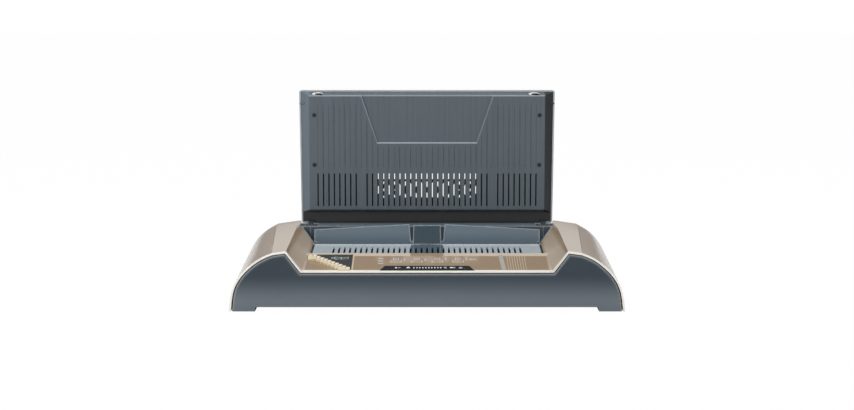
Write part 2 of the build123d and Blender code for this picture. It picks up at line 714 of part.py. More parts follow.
def support_flap():
    """Two wings cranked back from one hinge bar, joined by a web behind the label plate."""
    right = [(WING_FOOT_IN, FLAP_FOOT), (FLAP_FOOT_HALF, FLAP_FOOT), (FLAP_FOOT_HALF, FLAP_SHOULDER),
             (FLAP_HALF, FLAP_SHOULDER), (FLAP_HALF, FLAP_TOP_OUT), (WING_TOP_IN, FLAP_TOP_IN)]
    back = -FLAP_SET_BACK - FLAP_THICK
    wing = flap_slab(right, back, -FLAP_SET_BACK)
    waist = LABEL_HALF - 3
    web = plan_mirror([(WING_TOP_IN, FLAP_FOOT), (WING_TOP_IN, 6.0), (waist, 8.0), (waist, WEB_TOP)])
    crank = [(SPRING_HALF, FLAP_FOOT), (FLAP_FOOT_HALF, FLAP_FOOT), (FLAP_FOOT_HALF, -FLAP_FOOT),
             (SPRING_HALF, -FLAP_FOOT)]
    bar = rod_x(FLAP_BAR_RADIUS, SPRING_HALF, FLAP_BAR_HALF, FLAP_Y, FLAP_Z)
    right_half = wing + flap_slab(crank, -FLAP_SET_BACK, 0.0) + bar
    flap = fuse(both_sides(right_half) + [flap_slab(web, back, -FLAP_SET_BACK)])
    return flap - rod_x(ROD_RADIUS + PIN_FIT, -FLAP_HALF - 1, FLAP_HALF + 1, FLAP_Y, FLAP_Z)


def flap_label_plate():
    """Bare plate clipped over the middle of the flap."""
    foot, top = LABEL_HALF, LABEL_HALF - 1
    outline = [(-foot, LABEL_FOOT), (foot, LABEL_FOOT), (top, LABEL_TOP), (-top, LABEL_TOP)]
    return flap_slab(outline, -FLAP_SET_BACK, -FLAP_SET_BACK + 0.8)


def flap_spring():
    """Torsion spring of six-sided wire round the rod, which holds the flap against the document."""
    coil_radius = ROD_RADIUS + 1.0
    length = SPRING_PITCH * SPRING_TURNS
    helix = Helix(SPRING_PITCH, length, coil_radius)
    start = Plane(origin=helix @ 0, z_dir=helix % 0)
    coil = sweep(start * RegularPolygon(SPRING_WIRE, 6), path=helix)
    return Pos(-length / 2, FLAP_Y, FLAP_Z) * Rot(0, 90, 0) * coil


# ---- lid hinge ----
BRACKET_CHEEKS = ((160.0, 165.7), (174.3, 180.0))
ARM_SPAN = (166.0, 174.0)
CHEEK_RADIUS = 5.0


def hinge_bracket():
    """Right hinge bracket: a base on its tower and two cheeks that carry the pin."""
    bracket = block(160.0, 180.0, 73.0, 87.0, BRACKET_Z, 64.0)
    for x0, x1 in BRACKET_CHEEKS:
        bracket = bracket + block(x0, x1, HINGE_Y - CHEEK_RADIUS, HINGE_Y + CHEEK_RADIUS, 62.0, HINGE_Z)
        bracket = bracket + rod_x(CHEEK_RADIUS, x0, x1, HINGE_Y, HINGE_Z)
    return bracket - rod_x(PIN_RADIUS, 150, 190, HINGE_Y, HINGE_Z)


def lid_hinge_pins():
    """Steel pins pressed into the brackets."""
    return both_sides(rod_x(PIN_RADIUS, 160.0, 180.0, HINGE_Y, HINGE_Z))


# ---- lid, drawn flat and then stood open ----
# x across, y along the lid from the hinge axis, z from the axis plane, inner side up
def lid_place(shape):
    """Stand a lid piece up in its open position."""
    return Pos(0, HINGE_Y, HINGE_Z) * Rot(90 - LID_LEAN, 0, 0) * shape


def lid_half_at(along):
    """Half width of the lid, which widens a little towards its free edge."""
    share = (along - LID_NEAR) / (LID_FAR - LID_NEAR)
    return LID_HALF_NEAR + (LID_HALF_FAR - LID_HALF_NEAR) * share


def lid_outline(inset):
    """Tapered outline of the lid."""
    near = LID_NEAR + inset
    far = LID_FAR - inset
    right = [(lid_half_at(near) - inset, near), (lid_half_at(far) - inset, far)]
    return make_face(Polyline(*plan_mirror(right), close=True))


GRILLE_HALF = 77.0
GRILLE_SPAN = (40.0, 80.0)
GRILLE_CELLS = 9
GRILLE_SLIT = 1.3
GRILLE_RAIL_DROP = 14.0


def lid_outer_shell():
    """Outer skin of the lid with its rim, a window and the notches of the hinge arms."""
    thick = SHELL_FACE - RIM_FACE
    body = Pos(0, 0, -SHELL_FACE) * extrude(lid_outline(0.0), thick)
    body = fillet(body.edges().filter_by(Axis.Z), 4.0)
    body = fillet(body.edges().group_by(Axis.Z)[0], 2.5)
    hollow = Pos(0, 0, -SHELL_FACE + LID_SKIN) * extrude(lid_outline(LID_SKIN), thick)
    shell = body - hollow
    shell = shell - block(-GRILLE_HALF, GRILLE_HALF, *GRILLE_SPAN, -30, -18)
    for x0, x1 in ((ARM_SPAN[0] - 0.4, ARM_SPAN[1] + 0.4), (-ARM_SPAN[1] - 0.4, -ARM_SPAN[0] + 0.4)):
        shell = shell - block(x0, x1, 0, LID_NEAR + LID_SKIN + 0.5, -SHELL_FACE + LID_SKIN, 0)
    return lid_place(shell)


def lid_window_grille():
    """Plate that fills the outer skin's window: a narrow slit behind each slot, a rail and crossed bars."""
    z0 = -SHELL_FACE + 0.4
    z1 = -SHELL_FACE + LID_SKIN
    half = GRILLE_HALF - 0.15
    low, high = GRILLE_SPAN[0] + 0.15, GRILLE_SPAN[1] - 0.15
    window = block(-half, half, low, high, z0, z1)
    slit = GRILLE_SLIT / 2
    slits = [block(x - slit, x + slit, low + 2, high - 1, z0 - 1, z1 + 1)
             for x in slot_positions() if abs(x) < half - 2]
    pitch = 2 * (half - 2) / GRILLE_CELLS
    rail = high - GRILLE_RAIL_DROP
    bars = [block(-half, half, rail, rail + 3.5, z0, z1)]
    for index in range(GRILLE_CELLS):
        x = -half + 2 + index * pitch
        for a, b in ((low, rail + 1), (rail + 1, low)):
            outline = [(x - 1, a), (x + 3.0, a), (x + pitch + 1, b), (x + pitch - 3.0, b)]
            face = make_face(Polyline(*outline, close=True))
            bars.append(Pos(0, 0, z0) * extrude(face, z1 - z0))
    cutter = Compound(slits) - fuse(bars)
    return lid_place(window - cutter)


def lid_inner_panel():
    """Raised inner pan of the lid: sloping sides, slots, grooves and a trapezoid recess."""
    inset = LID_SKIN + 0.3
    skin = 2.0

    def pan(shrink, lift):
        foot = [(lid_half_at(20) - inset - shrink, 22.0 + shrink),
                (lid_half_at(195) - inset - shrink, LID_FAR - inset - shrink)]
        top = [(PANEL_HALF - shrink, PANEL_NEAR + shrink), (PANEL_HALF - shrink, PANEL_FAR - shrink)]
        lower = make_face(Polyline(*plan_mirror(foot), close=True))
        upper = make_face(Polyline(*plan_mirror(top), close=True))
        return loft([Pos(0, 0, -RIM_FACE + lift) * lower, Pos(0, 0, -PANEL_FACE + lift) * upper],
                    ruled=True)

    panel = pan(0.0, 0.0)
    panel = panel - pan(skin, -skin)
    panel = panel - block(-200, 200, 0, 210, -RIM_FACE - 9, -RIM_FACE)
    recess = [(72.0, 123.8), (96.0, PANEL_FAR + 4)]
    recess_face = make_face(Polyline(*plan_mirror(recess), close=True))
    liner = [(74.5, 121.8), (98.5, PANEL_FAR - 2.0)]
    liner_face = make_face(Polyline(*plan_mirror(liner), close=True))
    depth = 2.2
    panel = panel + Pos(0, 0, -PANEL_FACE - depth - skin) * extrude(liner_face, depth + 0.5)
    panel = panel - Pos(0, 0, -PANEL_FACE - depth) * extrude(recess_face, depth + 5)
    panel = panel - slot_cutters()
    panel = panel - groove_cutters()
    for x, along in SCREW_PLACES:
        panel = panel + rod_z(4.6, x, along, -PANEL_FACE - 6.0, -PANEL_FACE - 0.5)
        panel = panel - rod_z(1.7, x, along, -PANEL_FACE - 9.0, 0)
        panel = panel - rod_z(3.2, x, along, -PANEL_FACE - SCREW_DEPTH, 0)
    for x in (-BUMPER_X, BUMPER_X):
        panel = panel - Pos(x, BUMPER_ALONG, -RIM_FACE - 2) * extrude(Ellipse(6.7, 2.1), 9)
    for side in (-1, 1):
        x0, x1 = sorted((side * 177.9, side * (lid_half_at(LATCH_ALONG) - LID_SKIN + 0.2)))
        panel = panel - block(x0, x1, LATCH_ALONG - 0.2, LATCH_ALONG + 2.2, -RIM_FACE - 1, 0)
    return lid_place(panel)


def slot_positions():
    """Places of the lid's slots across; one is left out near each end."""
    places = []
    for index in range(LID_SLOT_COUNT):
        from_end = min(index, LID_SLOT_COUNT - 1 - index) + 1
        if from_end != LID_SLOT_GAP:
            places.append((index - (LID_SLOT_COUNT - 1) / 2) * LID_SLOT_PITCH)
    return places


def slot_cutters():
    """Blocks that cut the lid's slots."""
    half = LID_SLOT_WIDTH / 2
    low, high = LID_SLOT_SPAN
    return Compound([block(x - half, x + half, low, high, -12, 0) for x in slot_positions()])


def groove_cutters():
    """Fine grooves at every second slot, stopping short of the trapezoid recess."""
    cutters = []
    for index in range(1, LID_SLOT_COUNT, 2):
        x = (index - (LID_SLOT_COUNT - 1) / 2) * LID_SLOT_PITCH
        if abs(x) < 73:
            top = 117.0
        elif abs(x) < 100:
            top = 123.8 + (abs(x) - 72) * 68.7 / 24 - 12
        else:
            top = 182.0
        cutters.append(block(x - 0.35, x + 0.35, 87.0, top, -PANEL_FACE - 0.5, 0))
    return Compound(cutters)


def lid_recess_strip():
    """Dark strip in the channel between the raised pan and the hinge edge."""
    half = LID_HALF_NEAR - LID_SKIN - 0.2
    strip = block(-half, half, LID_NEAR + LID_SKIN, 21.9, -RIM_FACE - 2.0, -RIM_FACE)
    for x in (-170.0, 170.0):
        strip = strip - block(x - 4.4, x + 4.4, 0.0, 9.6, -RIM_FACE - 5, 0)
    return lid_place(strip)


def lid_screws():
    """Sunk pan-head screws that hold the pan to the shell's bosses."""
    seat = -PANEL_FACE - SCREW_DEPTH
    head, core = (seat, seat + 1.6), (LID_SHANK_END, seat)
    screws = [screw(LID_HEAD_RADIUS, LID_SHANK_RADIUS, x, along, head, core) for x, along in SCREW_PLACES]
    return [lid_place(item) for item in screws]


def lid_bosses():
    """Bosses of the outer shell that the pan's screws bite into."""
    bosses = []
    for x, along in SCREW_PLACES:
        boss = rod_z(4.0, x, along, -SHELL_FACE + 1, -PANEL_FACE - 6.0)
        bosses.append(boss - rod_z(LID_SHANK_RADIUS, x, along, LID_SHANK_END, 0))
    return bosses


def lid_bumpers():
    """Soft oval bumpers near the free edge, where the closed lid meets the humps."""
    bumpers = []
    for x in (-BUMPER_X, BUMPER_X):
        foot = -SHELL_FACE + LID_SKIN
        oval = Pos(x, BUMPER_ALONG, foot) * extrude(Ellipse(6.5, 1.9), -9.0 - foot)
        bumpers.append(lid_place(oval))
    return bumpers


def lid_side_latches():
    """Small snap noses on both side rims near the free edge."""
    noses = []
    near, far = LATCH_ALONG, LATCH_ALONG + 2.0
    for side in (-1, 1):
        rim_x = lid_half_at(near)
        x0, x1 = sorted((side * 178.2, side * (rim_x - LID_SKIN)))
        nose = block(x0, x1, near, far, -RIM_FACE - 3.0, -RIM_FACE + 2.6)
        x0, x1 = sorted((side * 178.2, side * (rim_x - 0.6)))
        nose = nose + block(x0, x1, near, far, -RIM_FACE, -RIM_FACE + 2.6)
        noses.append(lid_place(nose))
    return noses


def lid_hinge_arm():
    """Right hinge arm: an eye round the pin and a foot inside the lid's skin."""
    x0, x1 = ARM_SPAN
    eye = rod_x(4.8, x0, x1, 0, 0)
    neck = [(-3.6, -3.2), (3.6, -2.2), (9.2, -13.0), (9.2, -SHELL_FACE + LID_SKIN),
            (LID_NEAR, -SHELL_FACE + LID_SKIN)]
    arm = eye + side_prism(neck, x0, x1)
    foot = block(x0 - 5, x1 + 5, 8.2, 40.0, -SHELL_FACE + LID_SKIN, -SHELL_FACE + LID_SKIN + 2.5)
    arm = arm + foot
    arm = arm - rod_x(PIN_RADIUS + PIN_FIT, x0 - 1, x1 + 1, 0, 0)
    return lid_place(arm)


def save(name, shape):
    """Write one sub-part as its own file."""
    if isinstance(shape, list):
        solids = [solid for item in shape for solid in item.solids()]
        shape = Compound(solids)
    shape.label = name
    export_step(shape, "parts/" + name + ".step")
    PARTS[name] = shape


def main():
    os.makedirs("parts", exist_ok=True)
    save("top_shell", top_shell())
    save("front_panel", front_panel())
    save("rear_panel", rear_panel())
    save("base_tray", base_tray())
    rails = both_sides(foot_rail())
    save("foot_rail_right", rails[0])
    save("foot_rail_left", rails[1])
    save("foot_pads", foot_pads())
    save("base_screws", base_screws())
    save("vent_strip", vent_strip())
    save("well_liner", well_liner())
    save("rear_bridge", rear_bridge())
    save("heating_plate", heating_plate())
    save("heater_strips", heater_strips())
    save("plate_standoffs", plate_standoffs())
    save("heat_shield", heat_shield())
    save("thermostat", thermostat())
    save("thermal_fuse", thermal_fuse())
    save("control_board", control_board())
    save("display_module", display_module())
    save("key_switches", key_switches())
    save("buzzer", buzzer())
    save("power_board", power_board())
    save("transformer", transformer())
    save("power_inlet", power_inlet())
    save("switch_housing", switch_housing())
    save("power_rocker", power_rocker())
    save("display_window", display_window())
    for name, place in KEY_PLACES.items():
        save(name, key(place))
    save("gauge_steps", gauge_steps())
    save("gauge_plate", gauge_plate())
    save("support_flap", support_flap())
    save("flap_label_plate", flap_label_plate())
    save("flap_spring", flap_spring())
    save("flap_rod", rod_x(ROD_RADIUS, -160.2, 160.2, FLAP_Y, FLAP_Z))
    brackets = both_sides(hinge_bracket())
    save("hinge_bracket_right", brackets[0])
    save("hinge_bracket_left", brackets[1])
    save("lid_hinge_pins", lid_hinge_pins())
    shell = lid_outer_shell()
    for boss in lid_bosses():
        shell = shell + lid_place(boss)
    save("lid_outer_shell", shell)
    save("lid_window_grille", lid_window_grille())
    save("lid_inner_panel", lid_inner_panel())
    save("lid_recess_strip", lid_recess_strip())
    save("lid_screws", lid_screws())
    save("lid_bumpers", lid_bumpers())
    save("lid_side_latches", lid_side_latches())
    arms = both_sides(lid_hinge_arm())
    save("lid_hinge_arm_right", arms[0])
    save("lid_hinge_arm_left", arms[1])


main()
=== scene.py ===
import json
from math import pi, radians

import bmesh
import bpy
from mathutils import Matrix, Vector


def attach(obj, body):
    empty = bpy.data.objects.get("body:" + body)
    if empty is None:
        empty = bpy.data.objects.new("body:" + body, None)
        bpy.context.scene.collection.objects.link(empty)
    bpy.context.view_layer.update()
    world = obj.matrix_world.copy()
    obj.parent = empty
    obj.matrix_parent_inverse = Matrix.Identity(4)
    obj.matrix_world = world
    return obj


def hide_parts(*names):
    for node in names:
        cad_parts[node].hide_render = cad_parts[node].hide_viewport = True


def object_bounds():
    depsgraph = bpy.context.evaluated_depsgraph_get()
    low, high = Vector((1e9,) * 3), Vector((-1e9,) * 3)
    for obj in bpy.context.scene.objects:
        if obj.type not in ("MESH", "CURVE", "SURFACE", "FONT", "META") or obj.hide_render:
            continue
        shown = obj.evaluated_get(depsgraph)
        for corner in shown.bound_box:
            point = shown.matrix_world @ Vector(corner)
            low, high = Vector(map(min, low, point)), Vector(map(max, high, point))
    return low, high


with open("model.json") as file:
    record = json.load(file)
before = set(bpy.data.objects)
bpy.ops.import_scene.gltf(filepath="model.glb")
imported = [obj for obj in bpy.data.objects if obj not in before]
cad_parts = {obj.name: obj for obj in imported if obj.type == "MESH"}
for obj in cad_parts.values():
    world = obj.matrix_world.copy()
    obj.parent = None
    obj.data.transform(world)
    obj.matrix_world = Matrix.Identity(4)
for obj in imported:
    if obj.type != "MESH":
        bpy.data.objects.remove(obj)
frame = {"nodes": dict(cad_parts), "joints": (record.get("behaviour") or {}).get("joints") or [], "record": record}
cad_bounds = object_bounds()

# Thermal binding machine: finishes, rounded edges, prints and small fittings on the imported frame.
# Metres, +Z up, front towards -Y, the lid standing open. Flat prints are drawn in millimetres.

MM = 0.001
FRONT = cad_bounds[0][1]
JOINTS = {joint["name"]: joint for joint in frame["joints"]}
BODY_OF = {node: body for body, nodes in frame["record"]["behaviour"]["bodies"].items() for node in nodes}
SLOT_OF = {part["node"]: part["material_slot"] for part in frame["record"]["subparts"]}


# ---- the planes that prints lie on ----
def tilted(place, turn):
    """Placement at a point, turned about X."""
    return Matrix.Translation(Vector(place)) @ Matrix.Rotation(turn, 4, "X")


DECK_FRONT_Z = 0.0558
DECK_SLOPE = radians(8.656)
STRIP_FRONT_Y = -0.053
STRIP_FRONT_Z = 0.06599
STRIP_SLOPE = radians(2.54)
LID_LEAN = radians(4.0)

ON_DECK = tilted((0, FRONT, DECK_FRONT_Z), DECK_SLOPE)
ON_STRIP = tilted((0, STRIP_FRONT_Y, STRIP_FRONT_Z), STRIP_SLOPE)
ON_LID = tilted(JOINTS["lid_hinge"]["pos_m"], pi / 2 - LID_LEAN)
UNDER_FLOOR = tilted((0, 0, 0), pi)


# ---- colours ----
def srgb(red, green, blue):
    """Linear colour from screen values."""
    channels = []
    for value in (red, green, blue):
        share = value / 255
        channels.append(share / 12.92 if share <= 0.04045 else ((share + 0.055) / 1.055) ** 2.4)
    return (*channels, 1.0)


def shade(colour, factor, lift=0.0):
    """Colour made darker or lighter by a factor, and lifted."""
    return (*(min(1.0, channel * factor + lift) for channel in colour[:3]), 1.0)


# ---- node helpers, for a material's tree and a group alike ----
def connect(tree, value, socket):
    """Feed a socket from another socket, or set it to a plain value."""
    if isinstance(value, bpy.types.NodeSocket):
        tree.links.new(value, socket)
    else:
        socket.default_value = value


def maths(tree, operation, first, second=0.0):
    """Math node fed by sockets or plain numbers."""
    node = tree.nodes.new("ShaderNodeMath")
    node.operation = operation
    connect(tree, first, node.inputs[0])
    connect(tree, second, node.inputs[1])
    return node.outputs[0]


def product(tree, *factors):
    """Product of masks and plain numbers."""
    result = factors[0]
    for factor in factors[1:]:
        result = maths(tree, "MULTIPLY", result, factor)
    return result


def swing(tree, value, reach):
    """Value between 0 and 1 turned into one between minus and plus the reach."""
    return product(tree, maths(tree, "SUBTRACT", value, 0.5), reach, 2.0)


def mix_colour(tree, share, first, second):
    """Colour mix; each of the three may be a socket or a value."""
    node = tree.nodes.new("ShaderNodeMix")
    node.data_type = "RGBA"
    # the colour sockets are taken by place, because the node has several of each name
    connect(tree, share, node.inputs[0])
    connect(tree, first, node.inputs[6])
    connect(tree, second, node.inputs[7])
    return node.outputs[2]


def noise(tree, place, scale, detail, roughness=0.5):
    """Noise value at a scale given by a socket or a number."""
    node = tree.nodes.new("ShaderNodeTexNoise")
    node.inputs["Detail"].default_value = detail
    node.inputs["Roughness"].default_value = roughness
    connect(tree, place, node.inputs["Vector"])
    connect(tree, scale, node.inputs["Scale"])
    return node.outputs["Fac"]


def remap(tree, value, start, end, low=0.0, high=1.0):
    """Smooth change from low at the start value to high at the end value; by itself a mask."""
    node = tree.nodes.new("ShaderNodeMapRange")
    node.interpolation_type = "SMOOTHSTEP"
    connect(tree, value, node.inputs["Value"])
    for name, number in (("From Min", start), ("From Max", end), ("To Min", low), ("To Max", high)):
        connect(tree, number, node.inputs[name])
    return node.outputs["Result"]


def band(tree, value, rise, fall):
    """Mask of the values after a rise and before a fall, each a pair of start and end."""
    return product(tree, remap(tree, value, *rise), remap(tree, value, *fall))


def object_place(tree):
    """Object coordinates, which stay on the piece when it moves."""
    return tree.nodes.new("ShaderNodeTexCoord").outputs["Object"]


def stretched_place(tree, scale):
    """Object coordinates, each scaled by its own number."""
    node = tree.nodes.new("ShaderNodeMapping")
    node.inputs["Scale"].default_value = scale
    connect(tree, object_place(tree), node.inputs["Vector"])
    return node.outputs["Vector"]


def object_axis(tree, axis, absolute=False):
    """One object coordinate, or its distance from the middle plane."""
    split = tree.nodes.new("ShaderNodeSeparateXYZ")
    connect(tree, object_place(tree), split.inputs[0])
    return maths(tree, "ABSOLUTE", split.outputs[axis]) if absolute else split.outputs[axis]


def axis_mask(tree, axis, start, end, absolute=False):
    """Mask that goes from 0 at one object coordinate to 1 at another."""
    return remap(tree, object_axis(tree, axis, absolute), start, end)


# ---- shared node groups ----
def new_group(name, inputs, outputs):
    """Node group with named sockets and the defaults of its inputs, and its two end nodes."""
    group = bpy.data.node_groups.new(name, "ShaderNodeTree")
    for socket_name, kind, default in inputs:
        socket = group.interface.new_socket(socket_name, in_out="INPUT", socket_type="NodeSocket" + kind)
        socket.default_value = default
    for socket_name, kind in outputs:
        group.interface.new_socket(socket_name, in_out="OUTPUT", socket_type="NodeSocket" + kind)
    return group, group.nodes.new("NodeGroupInput"), group.nodes.new("NodeGroupOutput")


def edge_wear_and_highlight_group():
    """Mask of the rounded edges, for rubbing and for painted edge highlights, broken up so that it looks uneven.
    """
    inputs = [("Radius", "Float", 0.0006), ("Amount", "Float", 0.5), ("Patchiness", "Float", 0.75),
              ("Start", "Float", 0.985), ("End", "Float", 0.90)]
    group, given, result = new_group("edge_wear_and_highlight", inputs, [("Mask", "Float")])
    rounded = group.nodes.new("ShaderNodeBevel")
    rounded.samples = 3
    connect(group, given.outputs["Radius"], rounded.inputs["Radius"])
    geometry = group.nodes.new("ShaderNodeNewGeometry")
    facing = group.nodes.new("ShaderNodeVectorMath")
    facing.operation = "DOT_PRODUCT"
    connect(group, rounded.outputs["Normal"], facing.inputs[0])
    connect(group, geometry.outputs["True Normal"], facing.inputs[1])
    edge = remap(group, facing.outputs["Value"], given.outputs["Start"], given.outputs["End"])
    least = maths(group, "SUBTRACT", 1.0, given.outputs["Patchiness"])
    clouds = noise(group, object_place(group), scale=90.0, detail=4.0)
    patches = remap(group, clouds, 0.38, 0.62, low=least)
    connect(group, product(group, edge, patches, given.outputs["Amount"]), result.inputs["Mask"])
    return group


def moulded_group():
    """Moulded surface: cloudy tone, fine spark-eroded grain, edges lightened partly by rubbing and partly as
    painted highlight, and uneven gloss.
    """
    inputs = [("Colour", "Color", (0.5, 0.5, 0.5, 1)), ("Tone Spread", "Float", 0.08),
              ("Roughness", "Float", 0.4), ("Roughness Spread", "Float", 0.06),
              ("Grain Scale", "Float", 1800.0), ("Edge Mask", "Float", 0.0),
              ("Edge Colour", "Color", (0.7, 0.7, 0.7, 1))]
    outputs = [("Colour", "Color"), ("Roughness", "Float"), ("Height", "Float")]
    group, given, result = new_group("moulded_surface", inputs, outputs)
    place = object_place(group)
    clouds = product(group, noise(group, place, scale=14.0, detail=3.0), 0.75)
    specks = product(group, noise(group, place, scale=620.0, detail=2.0), 0.25)
    change = swing(group, maths(group, "ADD", clouds, specks), given.outputs["Tone Spread"])
    toned = group.nodes.new("ShaderNodeVectorMath")
    toned.operation = "SCALE"
    connect(group, given.outputs["Colour"], toned.inputs[0])
    connect(group, maths(group, "ADD", change, 1.0), toned.inputs["Scale"])
    worn_and_highlit = mix_colour(group, given.outputs["Edge Mask"], toned.outputs["Vector"],
                      given.outputs["Edge Colour"])
    connect(group, worn_and_highlit, result.inputs["Colour"])
    smears = noise(group, place, scale=38.0, detail=5.0, roughness=0.6)
    shift = swing(group, smears, given.outputs["Roughness Spread"])
    connect(group, maths(group, "ADD", shift, given.outputs["Roughness"]), result.inputs["Roughness"])
    grain = noise(group, place, given.outputs["Grain Scale"], detail=2.0)
    connect(group, grain, result.inputs["Height"])
    return group


def flake_group():
    """Pearl flakes of a metallic lacquer: tiny cells, each a little lighter or darker."""
    group, given, result = new_group("pearl_flake", [("Flake Scale", "Float", 1500.0)], [("Value", "Float")])
    cells = group.nodes.new("ShaderNodeTexVoronoi")
    connect(group, object_place(group), cells.inputs["Vector"])
    connect(group, given.outputs["Flake Scale"], cells.inputs["Scale"])
    split = group.nodes.new("ShaderNodeSeparateColor")
    connect(group, cells.outputs["Color"], split.inputs["Color"])
    connect(group, split.outputs["Red"], result.inputs["Value"])
    return group


EDGE_WEAR_AND_HIGHLIGHT = edge_wear_and_highlight_group()
MOULDED = moulded_group()
PEARL_FLAKE = flake_group()


# ---- materials ----
def use_group(tree, group, **values):
    """Group node with its own values; a value may be a socket."""
    node = tree.nodes.new("ShaderNodeGroup")
    node.node_tree = group
    for name, value in values.items():
        connect(tree, value, node.inputs[name.replace("_", " ").title()])
    return node


def blank_material(name, metallic=0.0, coat=0.0, coat_roughness=0.08, coat_tint=(1, 1, 1, 1), specular=0.5):
    """Material with its shader's plain values set on the shader itself."""
    material = bpy.data.materials.new(name)
    material.use_nodes = True
    tree = material.node_tree
    shader = tree.nodes["Principled BSDF"]
    for socket, value in (("Metallic", metallic), ("Coat Weight", coat), ("Coat Roughness", coat_roughness),
                          ("Coat Tint", coat_tint), ("Specular IOR Level", specular)):
        shader.inputs[socket].default_value = value
    return material, tree, shader


def raise_bump(tree, shader, height, distance):
    """Bump from a height socket, in metres."""
    bump = tree.nodes.new("ShaderNodeBump")
    bump.inputs["Distance"].default_value = distance
    connect(tree, height, bump.inputs["Height"])
    connect(tree, bump.outputs["Normal"], shader.inputs["Normal"])


def wire_surface(tree, shader, surface, grain_depth):
    """Colour, roughness and bump of a shader from a moulded surface."""
    connect(tree, surface.outputs["Colour"], shader.inputs["Base Color"])
    connect(tree, surface.outputs["Roughness"], shader.inputs["Roughness"])
    raise_bump(tree, shader, surface.outputs["Height"], grain_depth)


def moulded_material(name, colour, roughness, grain=1800.0, grain_depth=0.00003, tone=0.08, spread=0.05,
                     wear_and_highlight=0.35, reach=0.0006, patchiness=0.75, turn=(0.985, 0.90), edge=None,
                     **shader_values):
    """Moulded plastic, rubber or paint with grain, uneven gloss, and edges lightened partly by rubbing and partly
    as painted highlight.

    The lightened edges have a share (wear_and_highlight), a width in metres (reach), and two cosines of the edge's
    turning between which they come in (turn)."""
    material, tree, shader = blank_material(name, **shader_values)
    worn_and_highlit = use_group(tree, EDGE_WEAR_AND_HIGHLIGHT, amount=wear_and_highlight, radius=reach, patchiness=patchiness, start=turn[0],
                     end=turn[1])
    surface = use_group(tree, MOULDED, colour=colour, tone_spread=tone, roughness=roughness,
                        roughness_spread=spread, grain_scale=grain, edge_mask=worn_and_highlit.outputs["Mask"],
                        edge_colour=edge or shade(colour, 1.7, lift=0.03))
    wire_surface(tree, shader, surface, grain_depth)
    return material


def metal_material(name, colour, roughness, brushed=False):
    """Bare metal, with fine brushing along X where asked."""
    material, tree, shader = blank_material(name, metallic=1.0)
    place = stretched_place(tree, (30.0, 1500.0, 1500.0) if brushed else (400.0, 400.0, 400.0))
    lines = noise(tree, place, scale=1.0, detail=3.0)
    connect(tree, remap(tree, lines, 0.2, 0.8, roughness * 0.75, roughness * 1.3), shader.inputs["Roughness"])
    worn_and_highlit = use_group(tree, EDGE_WEAR_AND_HIGHLIGHT, amount=0.3)
    surface = use_group(tree, MOULDED, colour=colour, tone_spread=0.1, edge_mask=worn_and_highlit.outputs["Mask"],
                        edge_colour=srgb(235, 235, 235))
    connect(tree, surface.outputs["Colour"], shader.inputs["Base Color"])
    raise_bump(tree, shader, lines, 0.00002 if brushed else 0.00001)
    return material


def lay_colours(tree, tone, layers):
    """Tone with colours laid over it, each through its own mask."""
    for mask, colour in layers:
        tone = mix_colour(tree, mask, tone, colour)
    return tone


def recolour(material, layers):
    """Lay colours over the tone of a moulded material."""
    tree = material.node_tree
    surface = next(node for node in tree.nodes if node.type == "GROUP" and node.node_tree == MOULDED)
    socket = surface.inputs["Colour"]
    connect(tree, lay_colours(tree, tuple(socket.default_value), layers(tree)), socket)
    return material


# ---- shell: pearl champagne with a painted highlight on its cut rim, painted reflections on its deck and slopes, and painted shade along its creases ----
CHAMPAGNE = srgb(163, 143, 120)
PEARL_SPREAD = 0.28
RIM_DEPTH = 0.0040
# painted highlight along the cut front rim of the shell
RIM_HIGHLIGHT_CREAM = srgb(255, 253, 248)
HUMP_INNER = 0.1865
LABEL_REACH = (0.0220, 0.0236)

# painted reflection: the pale line before the strip and the cloudy patch on the middle of the deck
REFLECTION_CREAM = srgb(226, 217, 203)
SHEEN_START = FRONT + 0.0545
SHEEN_END = FRONT + 0.0685
SHEEN_TOP = 0.0672
DECK_REFLECTION_START = FRONT + 0.018
DECK_REFLECTION_HALF = (0.085, 0.055)

# painted reflection, lightening the low part of the humps' inner slopes
SLOPE_REFLECTION_TONE = srgb(222, 217, 208)
SLOPE_FOOT = 0.163
SLOPE_HEAD = (0.0805, 0.0770)

# the crease on each hump runs from front to rear, further out as it goes back, up to the rear rounding; a painted
# shade line runs along its outer side
CREASE_SHADE_BROWN = srgb(112, 96, 78)
CREASE_AT = 0.21428
CREASE_RUN = 0.069
CREASE_REAR = 0.080
CREASE_FOOT = 0.070


def between_humps(tree):
    """Mask of everything between the tops of the humps."""
    return axis_mask(tree, "X", HUMP_INNER + 0.001, HUMP_INNER, absolute=True)


def painted_sheen_mask(tree):
    """Painted reflection: pale line on the deck before the strip, open at the label plate, where the dark plate is
    reflected instead.
    """
    along = band(tree, object_axis(tree, "Y"), (SHEEN_START, SHEEN_START + 0.003),
                 (SHEEN_END + 0.0005, SHEEN_END))
    low = axis_mask(tree, "Z", SHEEN_TOP, SHEEN_TOP - 0.0006)
    beside_label = axis_mask(tree, "X", *LABEL_REACH, absolute=True)
    return product(tree, along, low, beside_label, between_humps(tree))


def deck_reflection_mask(tree):
    """Cloudy painted reflection on the middle of the deck."""
    along = band(tree, object_axis(tree, "Y"), (DECK_REFLECTION_START, DECK_REFLECTION_START + 0.02),
                 (SHEEN_START + 0.004, SHEEN_START))
    clouds = noise(tree, stretched_place(tree, (1.0, 0.35, 0.35)), scale=70.0, detail=3.0)
    across = axis_mask(tree, "X", *DECK_REFLECTION_HALF, absolute=True)
    return product(tree, along, across, remap(tree, clouds, 0.35, 0.65, high=0.3))


def slope_reflection_mask(tree):
    """Painted reflection on the inner slopes of the humps, below their tops."""
    outward = axis_mask(tree, "X", SLOPE_FOOT - 0.001, SLOPE_FOOT + 0.001, absolute=True)
    return product(tree, outward, axis_mask(tree, "Z", *SLOPE_HEAD), between_humps(tree))


